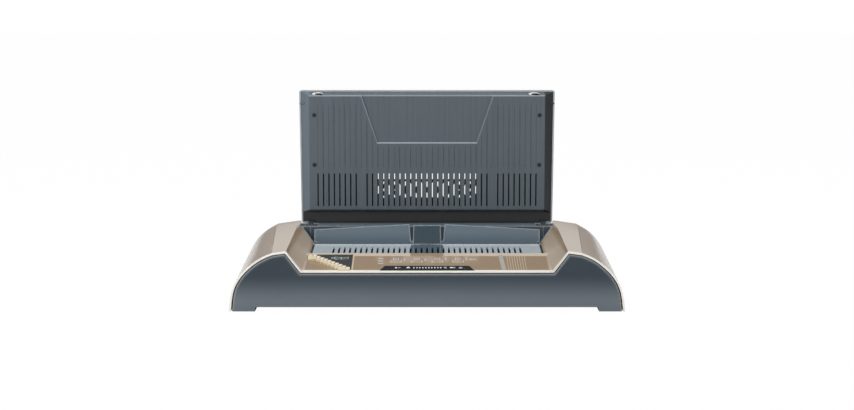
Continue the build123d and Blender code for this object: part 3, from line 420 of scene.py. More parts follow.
def crease_shade_mask(tree):
    """Painted shade: thin dark line along the outer side of each crease."""
    back = maths(tree, "MINIMUM", object_axis(tree, "Y"), CREASE_REAR)
    crease = maths(tree, "ADD", product(tree, back, CREASE_RUN), CREASE_AT)
    beyond = maths(tree, "SUBTRACT", object_axis(tree, "X", absolute=True), crease)
    line = band(tree, beyond, (0.0, 0.0004), (0.0020, 0.0010))
    along = band(tree, object_axis(tree, "Y"), (FRONT + RIM_DEPTH, FRONT + RIM_DEPTH + 0.001),
                 (CREASE_REAR + 0.010, CREASE_REAR))
    return product(tree, line, along, axis_mask(tree, "Z", CREASE_FOOT, CREASE_FOOT + 0.002))


def shell_layers(tree):
    """Tones of the shell over its pearl: painted highlight on the rim, painted reflections on the deck and slopes,
    painted shade along the creases.
    """
    # painted highlight on the cut rim
    yield axis_mask(tree, "Y", FRONT + RIM_DEPTH, FRONT + RIM_DEPTH - 0.0008), RIM_HIGHLIGHT_CREAM
    # painted reflection: pale line before the strip
    yield product(tree, painted_sheen_mask(tree), 0.8), REFLECTION_CREAM
    # cloudy painted reflection on the middle of the deck
    yield deck_reflection_mask(tree), REFLECTION_CREAM
    # painted reflection on the inner slopes
    yield product(tree, slope_reflection_mask(tree), 0.4), SLOPE_REFLECTION_TONE
    # painted shade along the creases
    yield product(tree, crease_shade_mask(tree), 0.6), CREASE_SHADE_BROWN


def champagne_lacquer():
    """Pearl champagne under a warm clear coat."""
    material, tree, shader = blank_material("champagne_lacquer", specular=0.1, coat=1.0, coat_roughness=0.12,
                                            coat_tint=(1.0, 0.97, 0.93, 1.0))
    flake = use_group(tree, PEARL_FLAKE, flake_scale=1600.0).outputs["Value"]
    pearl = mix_colour(tree, remap(tree, flake, 0.0, 1.0, 0.42, 0.58), shade(CHAMPAGNE, 1 - PEARL_SPREAD),
                       shade(CHAMPAGNE, 1 + PEARL_SPREAD))
    worn_and_highlit = use_group(tree, EDGE_WEAR_AND_HIGHLIGHT, amount=0.1)
    surface = use_group(tree, MOULDED, colour=lay_colours(tree, pearl, shell_layers(tree)), tone_spread=0.05,
                        roughness=0.34, roughness_spread=0.04, grain_scale=900.0,
                        edge_mask=worn_and_highlit.outputs["Mask"], edge_colour=srgb(222, 208, 186))
    wire_surface(tree, shader, surface, 0.00001)
    return material


# ---- tones of the fascia, the slotted strip and the flap: painted shade, highlights and reflections ----
FASCIA_FOOT = 0.010
FASCIA_HEAD = 0.052
BEVEL_START = FRONT + 0.0003
GROOVE_START = FRONT + 0.0017
GROOVE_FADE = 0.0003

STRIP_BEAD_Y = -0.0070
STRIP_BEAD_FOOT = 0.0682
STRIP_WALL_HEAD = 0.0650
STRIP_END = 0.1568

FLAP_HEAD = 0.086
FLAP_FOOT = 0.070


def front_layers(tree):
    """Painted light on the fascia: painted shade darker towards the top, a painted highlight on the bevel, and
    painted shade in the dark groove.
    """
    # painted shade: the fascia darkens towards the top
    yield axis_mask(tree, "Z", FASCIA_FOOT, FASCIA_HEAD), srgb(30, 47, 61)
    # painted highlight on the bevel
    bevel = band(tree, object_axis(tree, "Y"), (BEVEL_START, BEVEL_START + GROOVE_FADE),
                 (GROOVE_START + GROOVE_FADE, GROOVE_START))
    yield bevel, srgb(160, 167, 172)
    # painted shade in the groove
    yield axis_mask(tree, "Y", GROOVE_START, GROOVE_START + GROOVE_FADE), srgb(14, 17, 20)


def strip_layers(tree):
    """Painted light on the strip: painted reflection of the dark label plate before it, painted shade at its ends
    and in the slots, painted highlight on the bead.
    """
    # painted reflection of the dark label plate
    yield axis_mask(tree, "X", LABEL_REACH[1], LABEL_REACH[0], absolute=True), srgb(88, 104, 116)
    # painted highlight on the bead
    bead_highlight = product(tree, axis_mask(tree, "Y", STRIP_BEAD_Y, STRIP_BEAD_Y + 0.0003),
                   axis_mask(tree, "Z", STRIP_BEAD_FOOT, STRIP_BEAD_FOOT + 0.0002))
    yield bead_highlight, srgb(184, 193, 200)
    # painted shade in the slots
    yield axis_mask(tree, "Z", STRIP_WALL_HEAD, STRIP_WALL_HEAD - 0.0006), srgb(84, 97, 108)
    # painted shadow at the strip's ends
    yield axis_mask(tree, "X", STRIP_END, STRIP_END + 0.0012, absolute=True), srgb(50, 57, 64)


def flap_layers(tree):
    """Painted shade on the document flap: darker towards its foot."""
    yield axis_mask(tree, "Z", FLAP_HEAD, FLAP_FOOT), srgb(86, 102, 114)


# ---- tones of the lid's pan, as it stands open, with painted shade and highlights ----
SLOT_PITCH = 0.00794
LEDGE_HEIGHT = 0.1990
LEDGE_HALF = 0.0725
RECESS_HALF = 0.075
RECESS_SPREAD = 0.349
GROOVE_HALF = 0.159
GROOVE_FOOT = 0.163
GROOVE_HEAD = 0.255
PAN_TOP = 0.2677
PAN_FLANK = (0.1700, 0.1722)


def beyond_recess(tree):
    """Distance outwards across X from the widening side of the trapezoid recess."""
    above_ledge = maths(tree, "SUBTRACT", object_axis(tree, "Z"), LEDGE_HEIGHT)
    reach = maths(tree, "ADD", product(tree, above_ledge, RECESS_SPREAD), RECESS_HALF)
    return maths(tree, "SUBTRACT", object_axis(tree, "X", absolute=True), reach)


def groove_shade_mask(tree):
    """Painted shade in fine upright grooves, one in line with each slot, that leave the recess free."""
    across = maths(tree, "DIVIDE", object_axis(tree, "X"), SLOT_PITCH)
    from_line = maths(tree, "ABSOLUTE", maths(tree, "SUBTRACT", across, maths(tree, "ROUND", across)))
    line = remap(tree, from_line, 0.10, 0.05, high=0.4)
    off_recess = maths(tree, "MAXIMUM", remap(tree, beyond_recess(tree), 0.0, 0.001),
                       axis_mask(tree, "Z", LEDGE_HEIGHT - 0.004, LEDGE_HEIGHT - 0.005))
    span = band(tree, object_axis(tree, "Z"), (GROOVE_FOOT, GROOVE_FOOT + 0.002),
                (GROOVE_HEAD, GROOVE_HEAD - 0.002))
    return product(tree, line, off_recess, span,
                   axis_mask(tree, "X", GROOVE_HALF + 0.001, GROOVE_HALF, absolute=True))


def ledge_highlight_mask(tree):
    """Painted highlight on the ledge along the foot of the recess."""
    ledge = band(tree, object_axis(tree, "Z"), (LEDGE_HEIGHT - 0.0009, LEDGE_HEIGHT - 0.0004),
                 (LEDGE_HEIGHT + 0.0012, LEDGE_HEIGHT + 0.0007))
    return product(tree, ledge, axis_mask(tree, "X", LEDGE_HALF + 0.001, LEDGE_HALF, absolute=True))


def recess_side_highlight_mask(tree):
    """Painted highlight: a line along each slanting side of the recess."""
    line = band(tree, beyond_recess(tree), (-0.0039, -0.0034), (-0.0018, -0.0023))
    span = band(tree, object_axis(tree, "Z"), (LEDGE_HEIGHT, LEDGE_HEIGHT + 0.001),
                (PAN_TOP, PAN_TOP - 0.001))
    return product(tree, line, span)


def lid_layers(tree):
    """Tones of the pan: streaks, painted shade in the grooves, painted highlights on the recess and top, a flank
    in painted shade and one in painted light.
    """
    streaks = noise(tree, stretched_place(tree, (260.0, 1.0, 5.0)), scale=1.0, detail=2.0)
    yield remap(tree, streaks, 0.45, 0.75, high=0.5), srgb(75, 84, 91)
    yield groove_shade_mask(tree), srgb(44, 51, 58)
    yield ledge_highlight_mask(tree), srgb(176, 187, 195)
    yield recess_side_highlight_mask(tree), srgb(122, 133, 142)
    # painted highlight along the top edge of the pan
    top_edge_highlight = band(tree, object_axis(tree, "Z"), (PAN_TOP - 0.0014, PAN_TOP - 0.0009),
               (PAN_TOP + 0.0006, PAN_TOP + 0.0002))
    yield top_edge_highlight, srgb(156, 167, 176)
    # painted shade on the right flank, away from the key light
    yield axis_mask(tree, "X", *PAN_FLANK), srgb(22, 27, 32)
    # painted light on the left flank, towards the key light
    yield axis_mask(tree, "X", -PAN_FLANK[0], -PAN_FLANK[1]), srgb(102, 114, 124)


# ---- finishes ----
def ink(name, colour, roughness, tone):
    """Matte printing ink."""
    return moulded_material(name, colour, roughness, grain=2600.0, tone=tone, wear_and_highlight=0.0)


FINISH = {
    "champagne": champagne_lacquer(),
    # the fascia's wide pale bevel edge is painted highlight
    "front_graphite": recolour(
        moulded_material("front_graphite", srgb(103, 114, 122), 0.34, wear_and_highlight=0.8, reach=0.0040, patchiness=0.1,
                         turn=(0.9998, 0.975), edge=srgb(116, 124, 130), coat=0.2, coat_roughness=0.2),
        front_layers),
    "graphite": moulded_material("graphite_moulding", srgb(64, 71, 78), 0.45, coat=0.1),
    "plate_grey": moulded_material("plate_grey_moulding", srgb(52, 54, 55), 0.45, wear_and_highlight=0.2),
    "dark_graphite": moulded_material("dark_graphite_moulding", srgb(34, 38, 42), 0.6, wear_and_highlight=0.1),
    "lid_slate": recolour(
        moulded_material("lid_slate_moulding", srgb(87, 98, 106), 0.5, grain=1400.0, grain_depth=0.00005,
                         wear_and_highlight=0.25, reach=0.0008, edge=srgb(150, 160, 168)),
        lid_layers),
    # the flap's bright outlines are painted highlight
    "flap_slate": recolour(
        moulded_material("flap_slate_gloss", srgb(104, 119, 130), 0.24, grain=500.0, grain_depth=0.00001,
                         wear_and_highlight=0.9, reach=0.0024, patchiness=0.2, edge=srgb(202, 211, 218), coat=0.5),
        flap_layers),
    "strip_slate": recolour(
        moulded_material("strip_slate_gloss", srgb(183, 193, 198), 0.2, grain=500.0, grain_depth=0.00001,
                         wear_and_highlight=0.2, edge=srgb(215, 222, 228), coat=0.6),
        strip_layers),
    # the well's bright ledge edge is painted highlight
    "well_slate": moulded_material("well_slate_moulding", srgb(84, 94, 102), 0.34, wear_and_highlight=1.0, reach=0.0020,
                                   patchiness=0.2, edge=srgb(186, 196, 202), coat=0.2),
    # painted light: a lighter slate than the well's, set against the shade on the bridge; its bright outline is
    # painted highlight
    "bridge_slate": moulded_material("bridge_slate_gloss", srgb(120, 134, 145), 0.26, wear_and_highlight=0.9, reach=0.0016,
                                     patchiness=0.2, edge=srgb(202, 211, 218), coat=0.4),
    # the label plate's bright outline is painted highlight
    "label": moulded_material("label_plate", srgb(52, 71, 83), 0.3, wear_and_highlight=1.0, reach=0.0022, patchiness=0.2,
                              edge=srgb(206, 214, 220), coat=0.3),
    "cream": moulded_material("cream_moulding", srgb(228, 213, 180), 0.35, wear_and_highlight=0.3,
                              edge=srgb(250, 245, 230)),
    "silver": moulded_material("silver_paint", srgb(160, 164, 167), 0.34, metallic=0.4, wear_and_highlight=0.3,
                               edge=srgb(212, 213, 212), coat=0.3),
    "black_gloss": moulded_material("black_gloss", srgb(24, 24, 26), 0.12, grain=300.0, grain_depth=0.000005,
                                    spread=0.03, wear_and_highlight=0.2, coat=0.7),
    "black_matte": moulded_material("black_matte", srgb(46, 46, 47), 0.55, wear_and_highlight=0.3),
    "strip_black": moulded_material("channel_black", srgb(50, 50, 50), 0.6, wear_and_highlight=0.2),
    "rubber": moulded_material("rubber_black", srgb(20, 20, 20), 0.8, grain=900.0, grain_depth=0.0001,
                               wear_and_highlight=0.1),
    "white_rubber": moulded_material("rubber_white", srgb(250, 250, 247), 0.4, wear_and_highlight=0.1),
    "ceramic_white": moulded_material("ceramic_glaze", srgb(232, 228, 218), 0.25, wear_and_highlight=0.1, coat=0.4),
    "board_green": moulded_material("board_laminate", srgb(34, 92, 54), 0.4, wear_and_highlight=0.2, tone=0.2),
    "steel": metal_material("plated_steel", srgb(190, 190, 188), 0.3, brushed=True),
    "aluminium": metal_material("cast_aluminium", srgb(205, 205, 203), 0.42),
    "white_ink": ink("white_ink", srgb(240, 240, 236), 0.5, tone=0.15),
    "pale_ink": ink("pale_ink", srgb(196, 184, 164), 0.45, tone=0.25),
    "silver_ink": ink("silver_ink", srgb(206, 206, 202), 0.35, tone=0.2),
    "tan_ink": ink("tan_ink", srgb(170, 140, 96), 0.5, tone=0.2),
    "bar_ink": ink("bar_ink", srgb(172, 168, 160), 0.4, tone=0.25),
    "dark_ink": moulded_material("dark_ink", srgb(34, 37, 40), 0.5, wear_and_highlight=0.0),
}

# the pieces whose finish isn't the one of their material slot
FINISH_OF = {
    "front_panel": "front_graphite",
    "vent_strip": "strip_slate",
    "support_flap": "flap_slate",
    "flap_label_plate": "label",
    "well_liner": "well_slate",
    "rear_bridge": "bridge_slate",
    "gauge_plate": "plate_grey",
    "lid_recess_strip": "strip_black",
}


def finish_name(node):
    """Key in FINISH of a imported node: its own, else its slot's, else plain graphite."""
    return FINISH_OF.get(node, SLOT_OF[node] if SLOT_OF[node] in FINISH else "graphite")


# ---- piece helpers ----
def add_piece(name, shape, finishes, body, smooth=True):
    """Turn a finished bmesh into a piece that rides on a body. It has its place in its mesh."""
    bmesh.ops.recalc_face_normals(shape, faces=shape.faces)
    mesh = bpy.data.meshes.new(name)
    shape.to_mesh(mesh)
    shape.free()
    piece = bpy.data.objects.new(name, mesh)
    bpy.context.scene.collection.objects.link(piece)
    for key in finishes:
        mesh.materials.append(FINISH[key])
    mesh.polygons.foreach_set("use_smooth", [smooth] * len(mesh.polygons))
    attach(piece, body)
    return piece


def round_edges(piece, width, angle=30.0, segments=2, flatness=80):
    """Rounded edges, then shading that keeps the flats flat."""
    bevel = piece.modifiers.new("rounded_edges", "BEVEL")
    bevel.width = width
    bevel.segments = segments
    bevel.limit_method = "ANGLE"
    bevel.angle_limit = radians(angle)
    weighted = piece.modifiers.new("flat_faces", "WEIGHTED_NORMAL")
    weighted.weight = flatness
    weighted.keep_sharp = True
    return bevel


JOIN_DISTANCE = 0.000002
FLAT_ANGLE = radians(0.4)


def merged_copy(node):
    """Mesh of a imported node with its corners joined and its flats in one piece."""
    shape = bmesh.new()
    shape.from_mesh(frame["nodes"][node].data)
    bmesh.ops.remove_doubles(shape, verts=shape.verts, dist=JOIN_DISTANCE)
    bmesh.ops.dissolve_limit(shape, angle_limit=FLAT_ANGLE, use_dissolve_boundaries=False,
                             verts=shape.verts, edges=shape.edges)
    return shape


def dress(node, width, angle=30.0, segments=2, flatness=80, crease=None, paint=None, weights=None):
    """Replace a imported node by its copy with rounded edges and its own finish.

    crease gives the least angle that stays sharp at an edge, paint a second finish and the test for its
    faces, and weights the share of the rounding that an edge gets."""
    shape = merged_copy(node)
    finishes = [finish_name(node)]
    if paint:
        second_finish, is_painted = paint
        finishes.append(second_finish)
        for face in shape.faces:
            face.material_index = int(is_painted(face))
    if crease:
        for edge in shape.edges:
            edge.smooth = len(edge.link_faces) == 2 and edge.calc_face_angle() < crease(edge)
    if weights:
        layer = shape.edges.layers.float.new("bevel_weight_edge")
        for edge in shape.edges:
            edge[layer] = weights(edge)
    piece = add_piece(node + "_finished", shape, finishes, BODY_OF[node])
    bevel = round_edges(piece, width, angle, segments, flatness)
    if weights:
        bevel.limit_method = "WEIGHT"
    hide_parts(node)
    return piece


REAR_ROUND = 0.1035
SHELL_CREASE = radians(9.0)
REAR_CREASE = radians(26.0)


def shell_crease(edge):
    """Least angle that stays sharp on the shell: small on its creases, larger over the rounded rear edge."""
    over_rear = min(corner.co.y for corner in edge.verts) > REAR_ROUND
    return REAR_CREASE if over_rear else SHELL_CREASE


# levels and lengths in the lid's own placement: Z out of its face, Y from the hinge to the free edge
SKIN_INSIDE = -0.0205
SKIN_LIMIT = -0.0225
HINGE_EDGE = 0.0085
LID_MIDDLE = 0.1
FACING = 0.5


def inside_lid(face):
    """True for the inner faces of the lid's outer skin and its dark edge by the hinge."""
    place = ON_LID.inverted() @ face.calc_center_median()
    aim = ON_LID.inverted().to_3x3() @ face.normal
    if place.y < HINGE_EDGE and (aim.z > FACING or aim.y < -FACING):
        return True
    floor = aim.z > FACING and place.z < SKIN_INSIDE
    wall = aim.x * place.x < 0 and abs(aim.x) > FACING
    ends = aim.y * (LID_MIDDLE - place.y) > 0 and abs(aim.y) > FACING
    return (floor or wall or ends) and place.z > SKIN_LIMIT


OUTLINE_LENGTH = 0.06
PAN_GROOVED_HALF = 0.165
PAN_GROOVE_LEVEL = -0.0047
PAN_GROOVE_START = 0.0865
SLOT_ROUNDING = 0.12


def pan_weight(edge):
    """Rounding of the lid's pan: full on its outline and recess, slight on the slots, none on the grooves."""
    start, end = (ON_LID.inverted() @ corner.co for corner in edge.verts)
    upright = abs(end.x - start.x) < 0.1 * MM
    if edge.calc_length() > OUTLINE_LENGTH and not (upright and abs(start.x) < PAN_GROOVED_HALF):
        return 1.0
    grooved = all(corner.z > PAN_GROOVE_LEVEL and corner.y > PAN_GROOVE_START for corner in (start, end))
    return 0.0 if grooved else SLOT_ROUNDING


# how each piece that shows is dressed: its rounding in metres, and what differs from the usual values
ROUNDED = {
    "top_shell": {"width": 0.0005, "angle": 14.0, "flatness": 40, "crease": shell_crease},
    "front_panel": {"width": 0.0003, "angle": 20.0},
    "rear_panel": {"width": 0.0003},
    "base_tray": {"width": 0.0003},
    "foot_rail_left": {"width": 0.0004},
    "foot_rail_right": {"width": 0.0004},
    "foot_pads": {"width": 0.0004},
    "vent_strip": {"width": 0.0003},
    "well_liner": {"width": 0.0004},
    "rear_bridge": {"width": 0.0004},
    "heating_plate": {"width": 0.0002},
    "display_window": {"width": 0.0002},
    "gauge_steps": {"width": 0.0003},
    "gauge_plate": {"width": 0.0002},
    "support_flap": {"width": 0.0005},
    "flap_label_plate": {"width": 0.0003},
    "lid_outer_shell": {"width": 0.0005, "paint": ("dark_graphite", inside_lid)},
    "lid_window_grille": {"width": 0.0002},
    "lid_inner_panel": {"width": 0.0010, "segments": 3, "weights": pan_weight},
    "lid_recess_strip": {"width": 0.0003},
    "lid_side_latches": {"width": 0.0003},
    "lid_hinge_arm_left": {"width": 0.0003, "angle": 35.0},
    "lid_hinge_arm_right": {"width": 0.0003, "angle": 35.0},
    "hinge_bracket_left": {"width": 0.0003, "angle": 35.0},
    "hinge_bracket_right": {"width": 0.0003, "angle": 35.0},
    "select_key": {"width": 0.0003},
    "power_key": {"width": 0.0003},
    "power_rocker": {"width": 0.0003},
    "switch_housing": {"width": 0.0003, "angle": 35.0},
    "power_inlet": {"width": 0.0003, "angle": 35.0},
}

for node, choices in ROUNDED.items():
    dress(node, **choices)

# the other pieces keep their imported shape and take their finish
for node, packed in frame["nodes"].items():
    if node not in ROUNDED:
        packed.data.materials.clear()
        packed.data.materials.append(FINISH[finish_name(node)])


# ---- marks of the prints, drawn flat in millimetres: x across and v up the surface ----
INK_THICK = 0.05
ROUND_SEGMENTS = 28


def flat_place(x, v, turn=0.0):
    """Placement in the drawing's plane, turned by degrees."""
    return Matrix.Translation((x, v, 0)) @ Matrix.Rotation(radians(turn), 4, "Z")


def bar(shape, x, v, width, height, turn=0.0):
    """Flat bar about its middle."""
    made = bmesh.ops.create_grid(shape, x_segments=1, y_segments=1, size=0.5)["verts"]
    sized = flat_place(x, v, turn) @ Matrix.Diagonal((width, height, 1, 1))
    bmesh.ops.transform(shape, matrix=sized, verts=made)


def disc(shape, x, v, radius, squash=1.0):
    """Flat disc, or an oval where it is squashed along v."""
    made = bmesh.ops.create_circle(shape, cap_ends=True, segments=ROUND_SEGMENTS, radius=radius)["verts"]
    sized = flat_place(x, v) @ Matrix.Diagonal((1, squash, 1, 1))
    bmesh.ops.transform(shape, matrix=sized, verts=made)


def triangle(shape, x, v, radius, turn=0.0):
    """Flat triangle with equal sides about its middle."""
    made = bmesh.ops.create_circle(shape, cap_ends=True, segments=3, radius=radius)["verts"]
    bmesh.ops.transform(shape, matrix=flat_place(x, v, turn), verts=made)


def ring(shape, x, v, radius, width):
    """Flat ring."""
    outer = bmesh.ops.create_circle(shape, cap_ends=False, segments=ROUND_SEGMENTS, radius=radius)["verts"]
    edges = list({edge for corner in outer for edge in corner.link_edges})
    grown = bmesh.ops.extrude_edge_only(shape, edges=edges)["geom"]
    inner = [item for item in grown if isinstance(item, bmesh.types.BMVert)]
    share = (radius - width) / radius
    bmesh.ops.scale(shape, vec=(share, share, 1), verts=inner)
    bmesh.ops.transform(shape, matrix=flat_place(x, v), verts=outer + inner)


def cross(shape, x, v, size, width, turn):
    """Flat cross standing for a screw's cross recess, as painted shade."""
    bar(shape, x, v, size, width, turn=turn)
    bar(shape, x, v, width, size, turn=turn)


def page(shape, x, v):
    """Outline of an upright sheet."""
    width = 7.0
    height = 9.1
    stroke = 0.9
    for side in (-0.5, 0.5):
        bar(shape, x + side * width, v, stroke, height)
        bar(shape, x, v + side * height, width + stroke, stroke)


def arrow(shape, x, v, turn):
    """Small arrow."""
    tip = Matrix.Rotation(radians(turn), 2) @ Vector((0, 4.0))
    bar(shape, x, v, 0.9, 6.5, turn=turn)
    triangle(shape, x + tip.x, v + tip.y, 2.0, turn=turn)


def lay(name, shape, placement, level, finish, body, thick=INK_THICK):
    """Thicken flat marks and set them on a surface, level millimetres above its plane."""
    bmesh.ops.recalc_face_normals(shape, faces=shape.faces)
    for face in shape.faces:
        if face.normal.z < 0:
            face.normal_flip()
    bmesh.ops.solidify(shape, geom=shape.faces, thickness=-thick)
    low = min(corner.co.z for corner in shape.verts)
    shift = placement @ Matrix.Scale(MM, 4) @ Matrix.Translation((0, 0, level - low))
    bmesh.ops.transform(shape, matrix=shift, verts=shape.verts)
    return add_piece(name, shape, [finish], body, smooth=False)


# ---- gauge ----
GAUGE_X = -155.0
GAUGE_V = 54.5
GAUGE_PITCH = 5.2
GAUGE_STEPS = 10
GAUGE_TOP = 3.0
GAUGE_LEAN = -20.0
GAUGE_SCALE_END = 15.0


def gauge_prints():
    """White tooth as a painted highlight on the top of each step of the gauge, a dark gap beside it as painted
    shade, and a fine scale in front of the upper ones.
    """
    tooth_highlights = bmesh.new()
    lines = bmesh.new()
    gap_shades = bmesh.new()
    for step in range(GAUGE_STEPS):
        x = GAUGE_X + step * GAUGE_PITCH
        v = GAUGE_V - step * GAUGE_PITCH
        # painted highlight on the top of the step
        triangle(tooth_highlights, x + 2.3, v - 2.2, 2.7, turn=75.0)
        bar(tooth_highlights, x + 1.3, v - 4.4, 1.6, 2.6, turn=GAUGE_LEAN)
        # painted shade in the gap beside the step
        bar(gap_shades, x - 0.3, v - 2.2, 1.0, 3.4, turn=GAUGE_LEAN)
        if v > GAUGE_SCALE_END:
            bar(lines, x + 0.4, v - 9.5, 0.5, 6.0)
            bar(lines, x - 1.8, v - 11.5, 1.6, 0.5)
    lay("gauge_tooth_highlights", tooth_highlights, ON_DECK, GAUGE_TOP, "white_ink", "base")
    lay("gauge_scale", lines, ON_DECK, GAUGE_TOP, "tan_ink", "base")
    lay("gauge_gap_shades", gap_shades, ON_DECK, GAUGE_TOP, "dark_ink", "base")


PLATE_LEVEL = -0.3
ICON_X = -116.5
ICON_V = 49.0
WALL_HIGHLIGHT_X = -99.9
WALL_HIGHLIGHT_V = 32.5


def gauge_icon():
    """Open cover and a lens, drawn on the gauge's dark plate, and a pale line beside the plate, a painted
    highlight on the lit wall of its recess.
    """
    icon = bmesh.new()
    for side in (-1, 1):
        for rise in (3.6, -2.6):
            bar(icon, ICON_X + side * 4.6, ICON_V + rise, 9.0, 0.9, turn=side * 12.0)
        bar(icon, ICON_X + side * 9.1, ICON_V + 1.4, 1.1, 6.0)
    bar(icon, ICON_X, ICON_V, 1.0, 7.0)
    ring(icon, ICON_X - 11.5, ICON_V + 1.0, 2.6, 0.9)
    bar(icon, ICON_X - 7.5, ICON_V - 4.4, 4.6, 1.0, turn=-35.0)
    lay("gauge_icon", icon, ON_DECK, PLATE_LEVEL, "silver_ink", "base")
    # painted highlight on the lit wall beside the plate
    wall_highlight = bmesh.new()
    bar(wall_highlight, WALL_HIGHLIGHT_X, WALL_HIGHLIGHT_V, 2.0, 59.0)
    lay("gauge_wall_highlight", wall_highlight, ON_DECK, 0.0, "pale_ink", "base", thick=0.3)


# ---- deck, strip and display ----
DASH_X = -62.6
DASH_ROWS = (46.5, 37.6, 28.5)
STEP_PLACES = (-42.0, -14.0, 14.0, 42.0)
STEP_PAGE_V = 45.0
STEP_TRAY_V = 33.5
LAST_SIGN_X = 62.0


def deck_pictograms():
    """Row of line drawings for the steps of use, and three short dashes before them."""
    dashes = bmesh.new()
    for v in DASH_ROWS:
        bar(dashes, DASH_X, v, 7.0, 2.2)
    lay("deck_dashes", dashes, ON_DECK, 0.0, "silver_ink", "base")
    row = bmesh.new()
    for index, x in enumerate(STEP_PLACES):
        page(row, x, STEP_PAGE_V)
        arrow(row, x + 11.5, STEP_PAGE_V, 180.0 if index < 2 else 0.0)
        bar(row, x, STEP_TRAY_V, 16.0, 1.3)
        for side in (-1, 1):
            bar(row, x + side * 7.0, STEP_TRAY_V + 3.0, 1.1, 6.0)
        for line in range(3):
            bar(row, x, STEP_PAGE_V - 2.4 + line * 2.4, 4.0, 0.7)
    bar(row, LAST_SIGN_X, 42.0, 12.0, 1.2)
    ring(row, LAST_SIGN_X, 46.0, 3.4, 0.9)
    lay("deck_pictograms", row, ON_DECK, 0.0, "silver_ink", "base")


DECK_BAR_X = 101.6
DECK_LINE_X = 109.0
DECK_LINE_PITCH = 3.4
DECK_LINES = 8
DECK_LINE_LENGTH = 56.0


def deck_ribs():
    """Pale bar and fine lines that run front to rear on the right of the deck."""
    pale_bar = bmesh.new()
    bar(pale_bar, DECK_BAR_X, 33.0, 5.8, DECK_LINE_LENGTH, turn=2.5)
    lay("deck_bar", pale_bar, ON_DECK, 0.0, "bar_ink", "base")
    lines = bmesh.new()
    for index in range(DECK_LINES):
        bar(lines, DECK_LINE_X + index * DECK_LINE_PITCH, 32.0, 0.7, DECK_LINE_LENGTH)
    lay("deck_lines", lines, ON_DECK, 0.0, "pale_ink", "base")


PIP_X = 146.0
PIP_V = 18.0
PIP_RADIUS = 2.8


def strip_pips():
    """Small pale pip near each end of the slotted strip."""
    pips = bmesh.new()
    for side in (-1, 1):
        disc(pips, side * PIP_X, PIP_V, PIP_RADIUS)
    lay("strip_pips", pips, ON_STRIP, 0.0, "bar_ink", "base")


SCALE_X = -17.5
SCALE_PITCH = 4.0
SCALE_MARKS = 10
WINDOW_V = 12.8
KEY_TOP = 0.3
SELECT_X = -41.4
POWER_X = 45.0


def window_prints():
    """Scale of the display between its small signs, and the marks of the two keys."""
    marks = bmesh.new()
    triangle(marks, SCALE_X - 7.7, WINDOW_V - 0.2, 3.6)
    for index in range(SCALE_MARKS):
        bar(marks, SCALE_X + index * SCALE_PITCH, WINDOW_V, 2.0, 2.6)
        bar(marks, SCALE_X + index * SCALE_PITCH, WINDOW_V - 3.2, 0.6, 1.6)
    bar(marks, 24.5, WINDOW_V + 1.4, 4.6, 1.0, turn=35.0)
    bar(marks, 24.5, WINDOW_V - 1.2, 4.6, 1.0, turn=-35.0)
    disc(marks, 32.6, WINDOW_V, 2.2)
    bar(marks, 36.4, WINDOW_V + 1.4, 3.0, 1.0)
    bar(marks, 36.4, WINDOW_V - 1.4, 3.0, 1.0)
    lay("display_marks", marks, ON_DECK, 0.0, "white_ink", "base")
    select = bmesh.new()
    bar(select, SELECT_X, 11.6, 2.6, 4.0)
    bar(select, SELECT_X + 4.5, 11.6, 3.4, 1.1)
    lay("select_key_mark", select, ON_DECK, KEY_TOP, "white_ink", "select_key")
    power = bmesh.new()
    ring(power, POWER_X, 11.0, 2.4, 0.7)
    bar(power, POWER_X, 12.6, 0.8, 2.6)
    lay("power_key_mark", power, ON_DECK, KEY_TOP, "white_ink", "power_key")


# ---- lid, floor and rear ----
# the heads are wider and higher than the bumpers of the solids, so that they show above the pan's edge
BUMPER_PLACES = (-158.6, 155.2)
BUMPER_ALONG = 194.8
BUMPER_TOP = -9.0
HEAD_RADIUS = 7.8
HEAD_RISE = 4.6
HEAD_ROUNDING = 0.0002
MIDDLE_RADIUS = 5.8
MIDDLE_RISE = 0.2
LID_SCREWS = [(-163.5, 91.6), (163.5, 91.6), (-163.5, 163.9), (163.5, 163.9)]
LID_SCREW_TOP = -6.4


def lid_fittings():
    """Pale head of each bumper with its dark middle, and a dark cross on each screw, painted shade for its cross
    recess.
    """
    heads = bmesh.new()
    middles = bmesh.new()
    for x in BUMPER_PLACES:
        disc(heads, x, BUMPER_ALONG, HEAD_RADIUS, squash=0.27)
        disc(middles, x + 1.5, BUMPER_ALONG - 0.4, MIDDLE_RADIUS, squash=0.24)
    pads = lay("bumper_heads", heads, ON_LID, BUMPER_TOP, "white_rubber", "lid",
               thick=HEAD_RISE)
    round_edges(pads, HEAD_ROUNDING)
    lay("bumper_middles", middles, ON_LID, BUMPER_TOP + HEAD_RISE - MIDDLE_RISE, "rubber", "lid",
        thick=2 * MIDDLE_RISE)
    # painted shade: dark crosses for the screws' cross recesses
    crosses = bmesh.new()
    for x, along in LID_SCREWS:
        cross(crosses, x, along, 3.4, 0.8, turn=20.0)
    lay("lid_screw_crosses", crosses, ON_LID, LID_SCREW_TOP, "dark_ink", "lid")


FLOOR_SCREWS = [(-90.0, -96.0), (90.0, -96.0), (0.0, 98.0)]
FLOOR_SCREW_TOP = -6.4


def base_screw_crosses():
    """Dark crosses on three of the screws under the floor, painted shade for their cross recesses."""
    crosses = bmesh.new()
    for x, y in FLOOR_SCREWS:
        cross(crosses, x, -y, 4.2, 0.9, turn=15.0)
    lay("base_screw_crosses", crosses, UNDER_FLOOR, FLOOR_SCREW_TOP, "dark_ink", "base")


ROCKER_TILT = radians(-9.0)
ROCKER_SLOPE = radians(10.9)
ROCKER_FACE = 0.0024
ROCKER_MARK_RISE = 0.0026


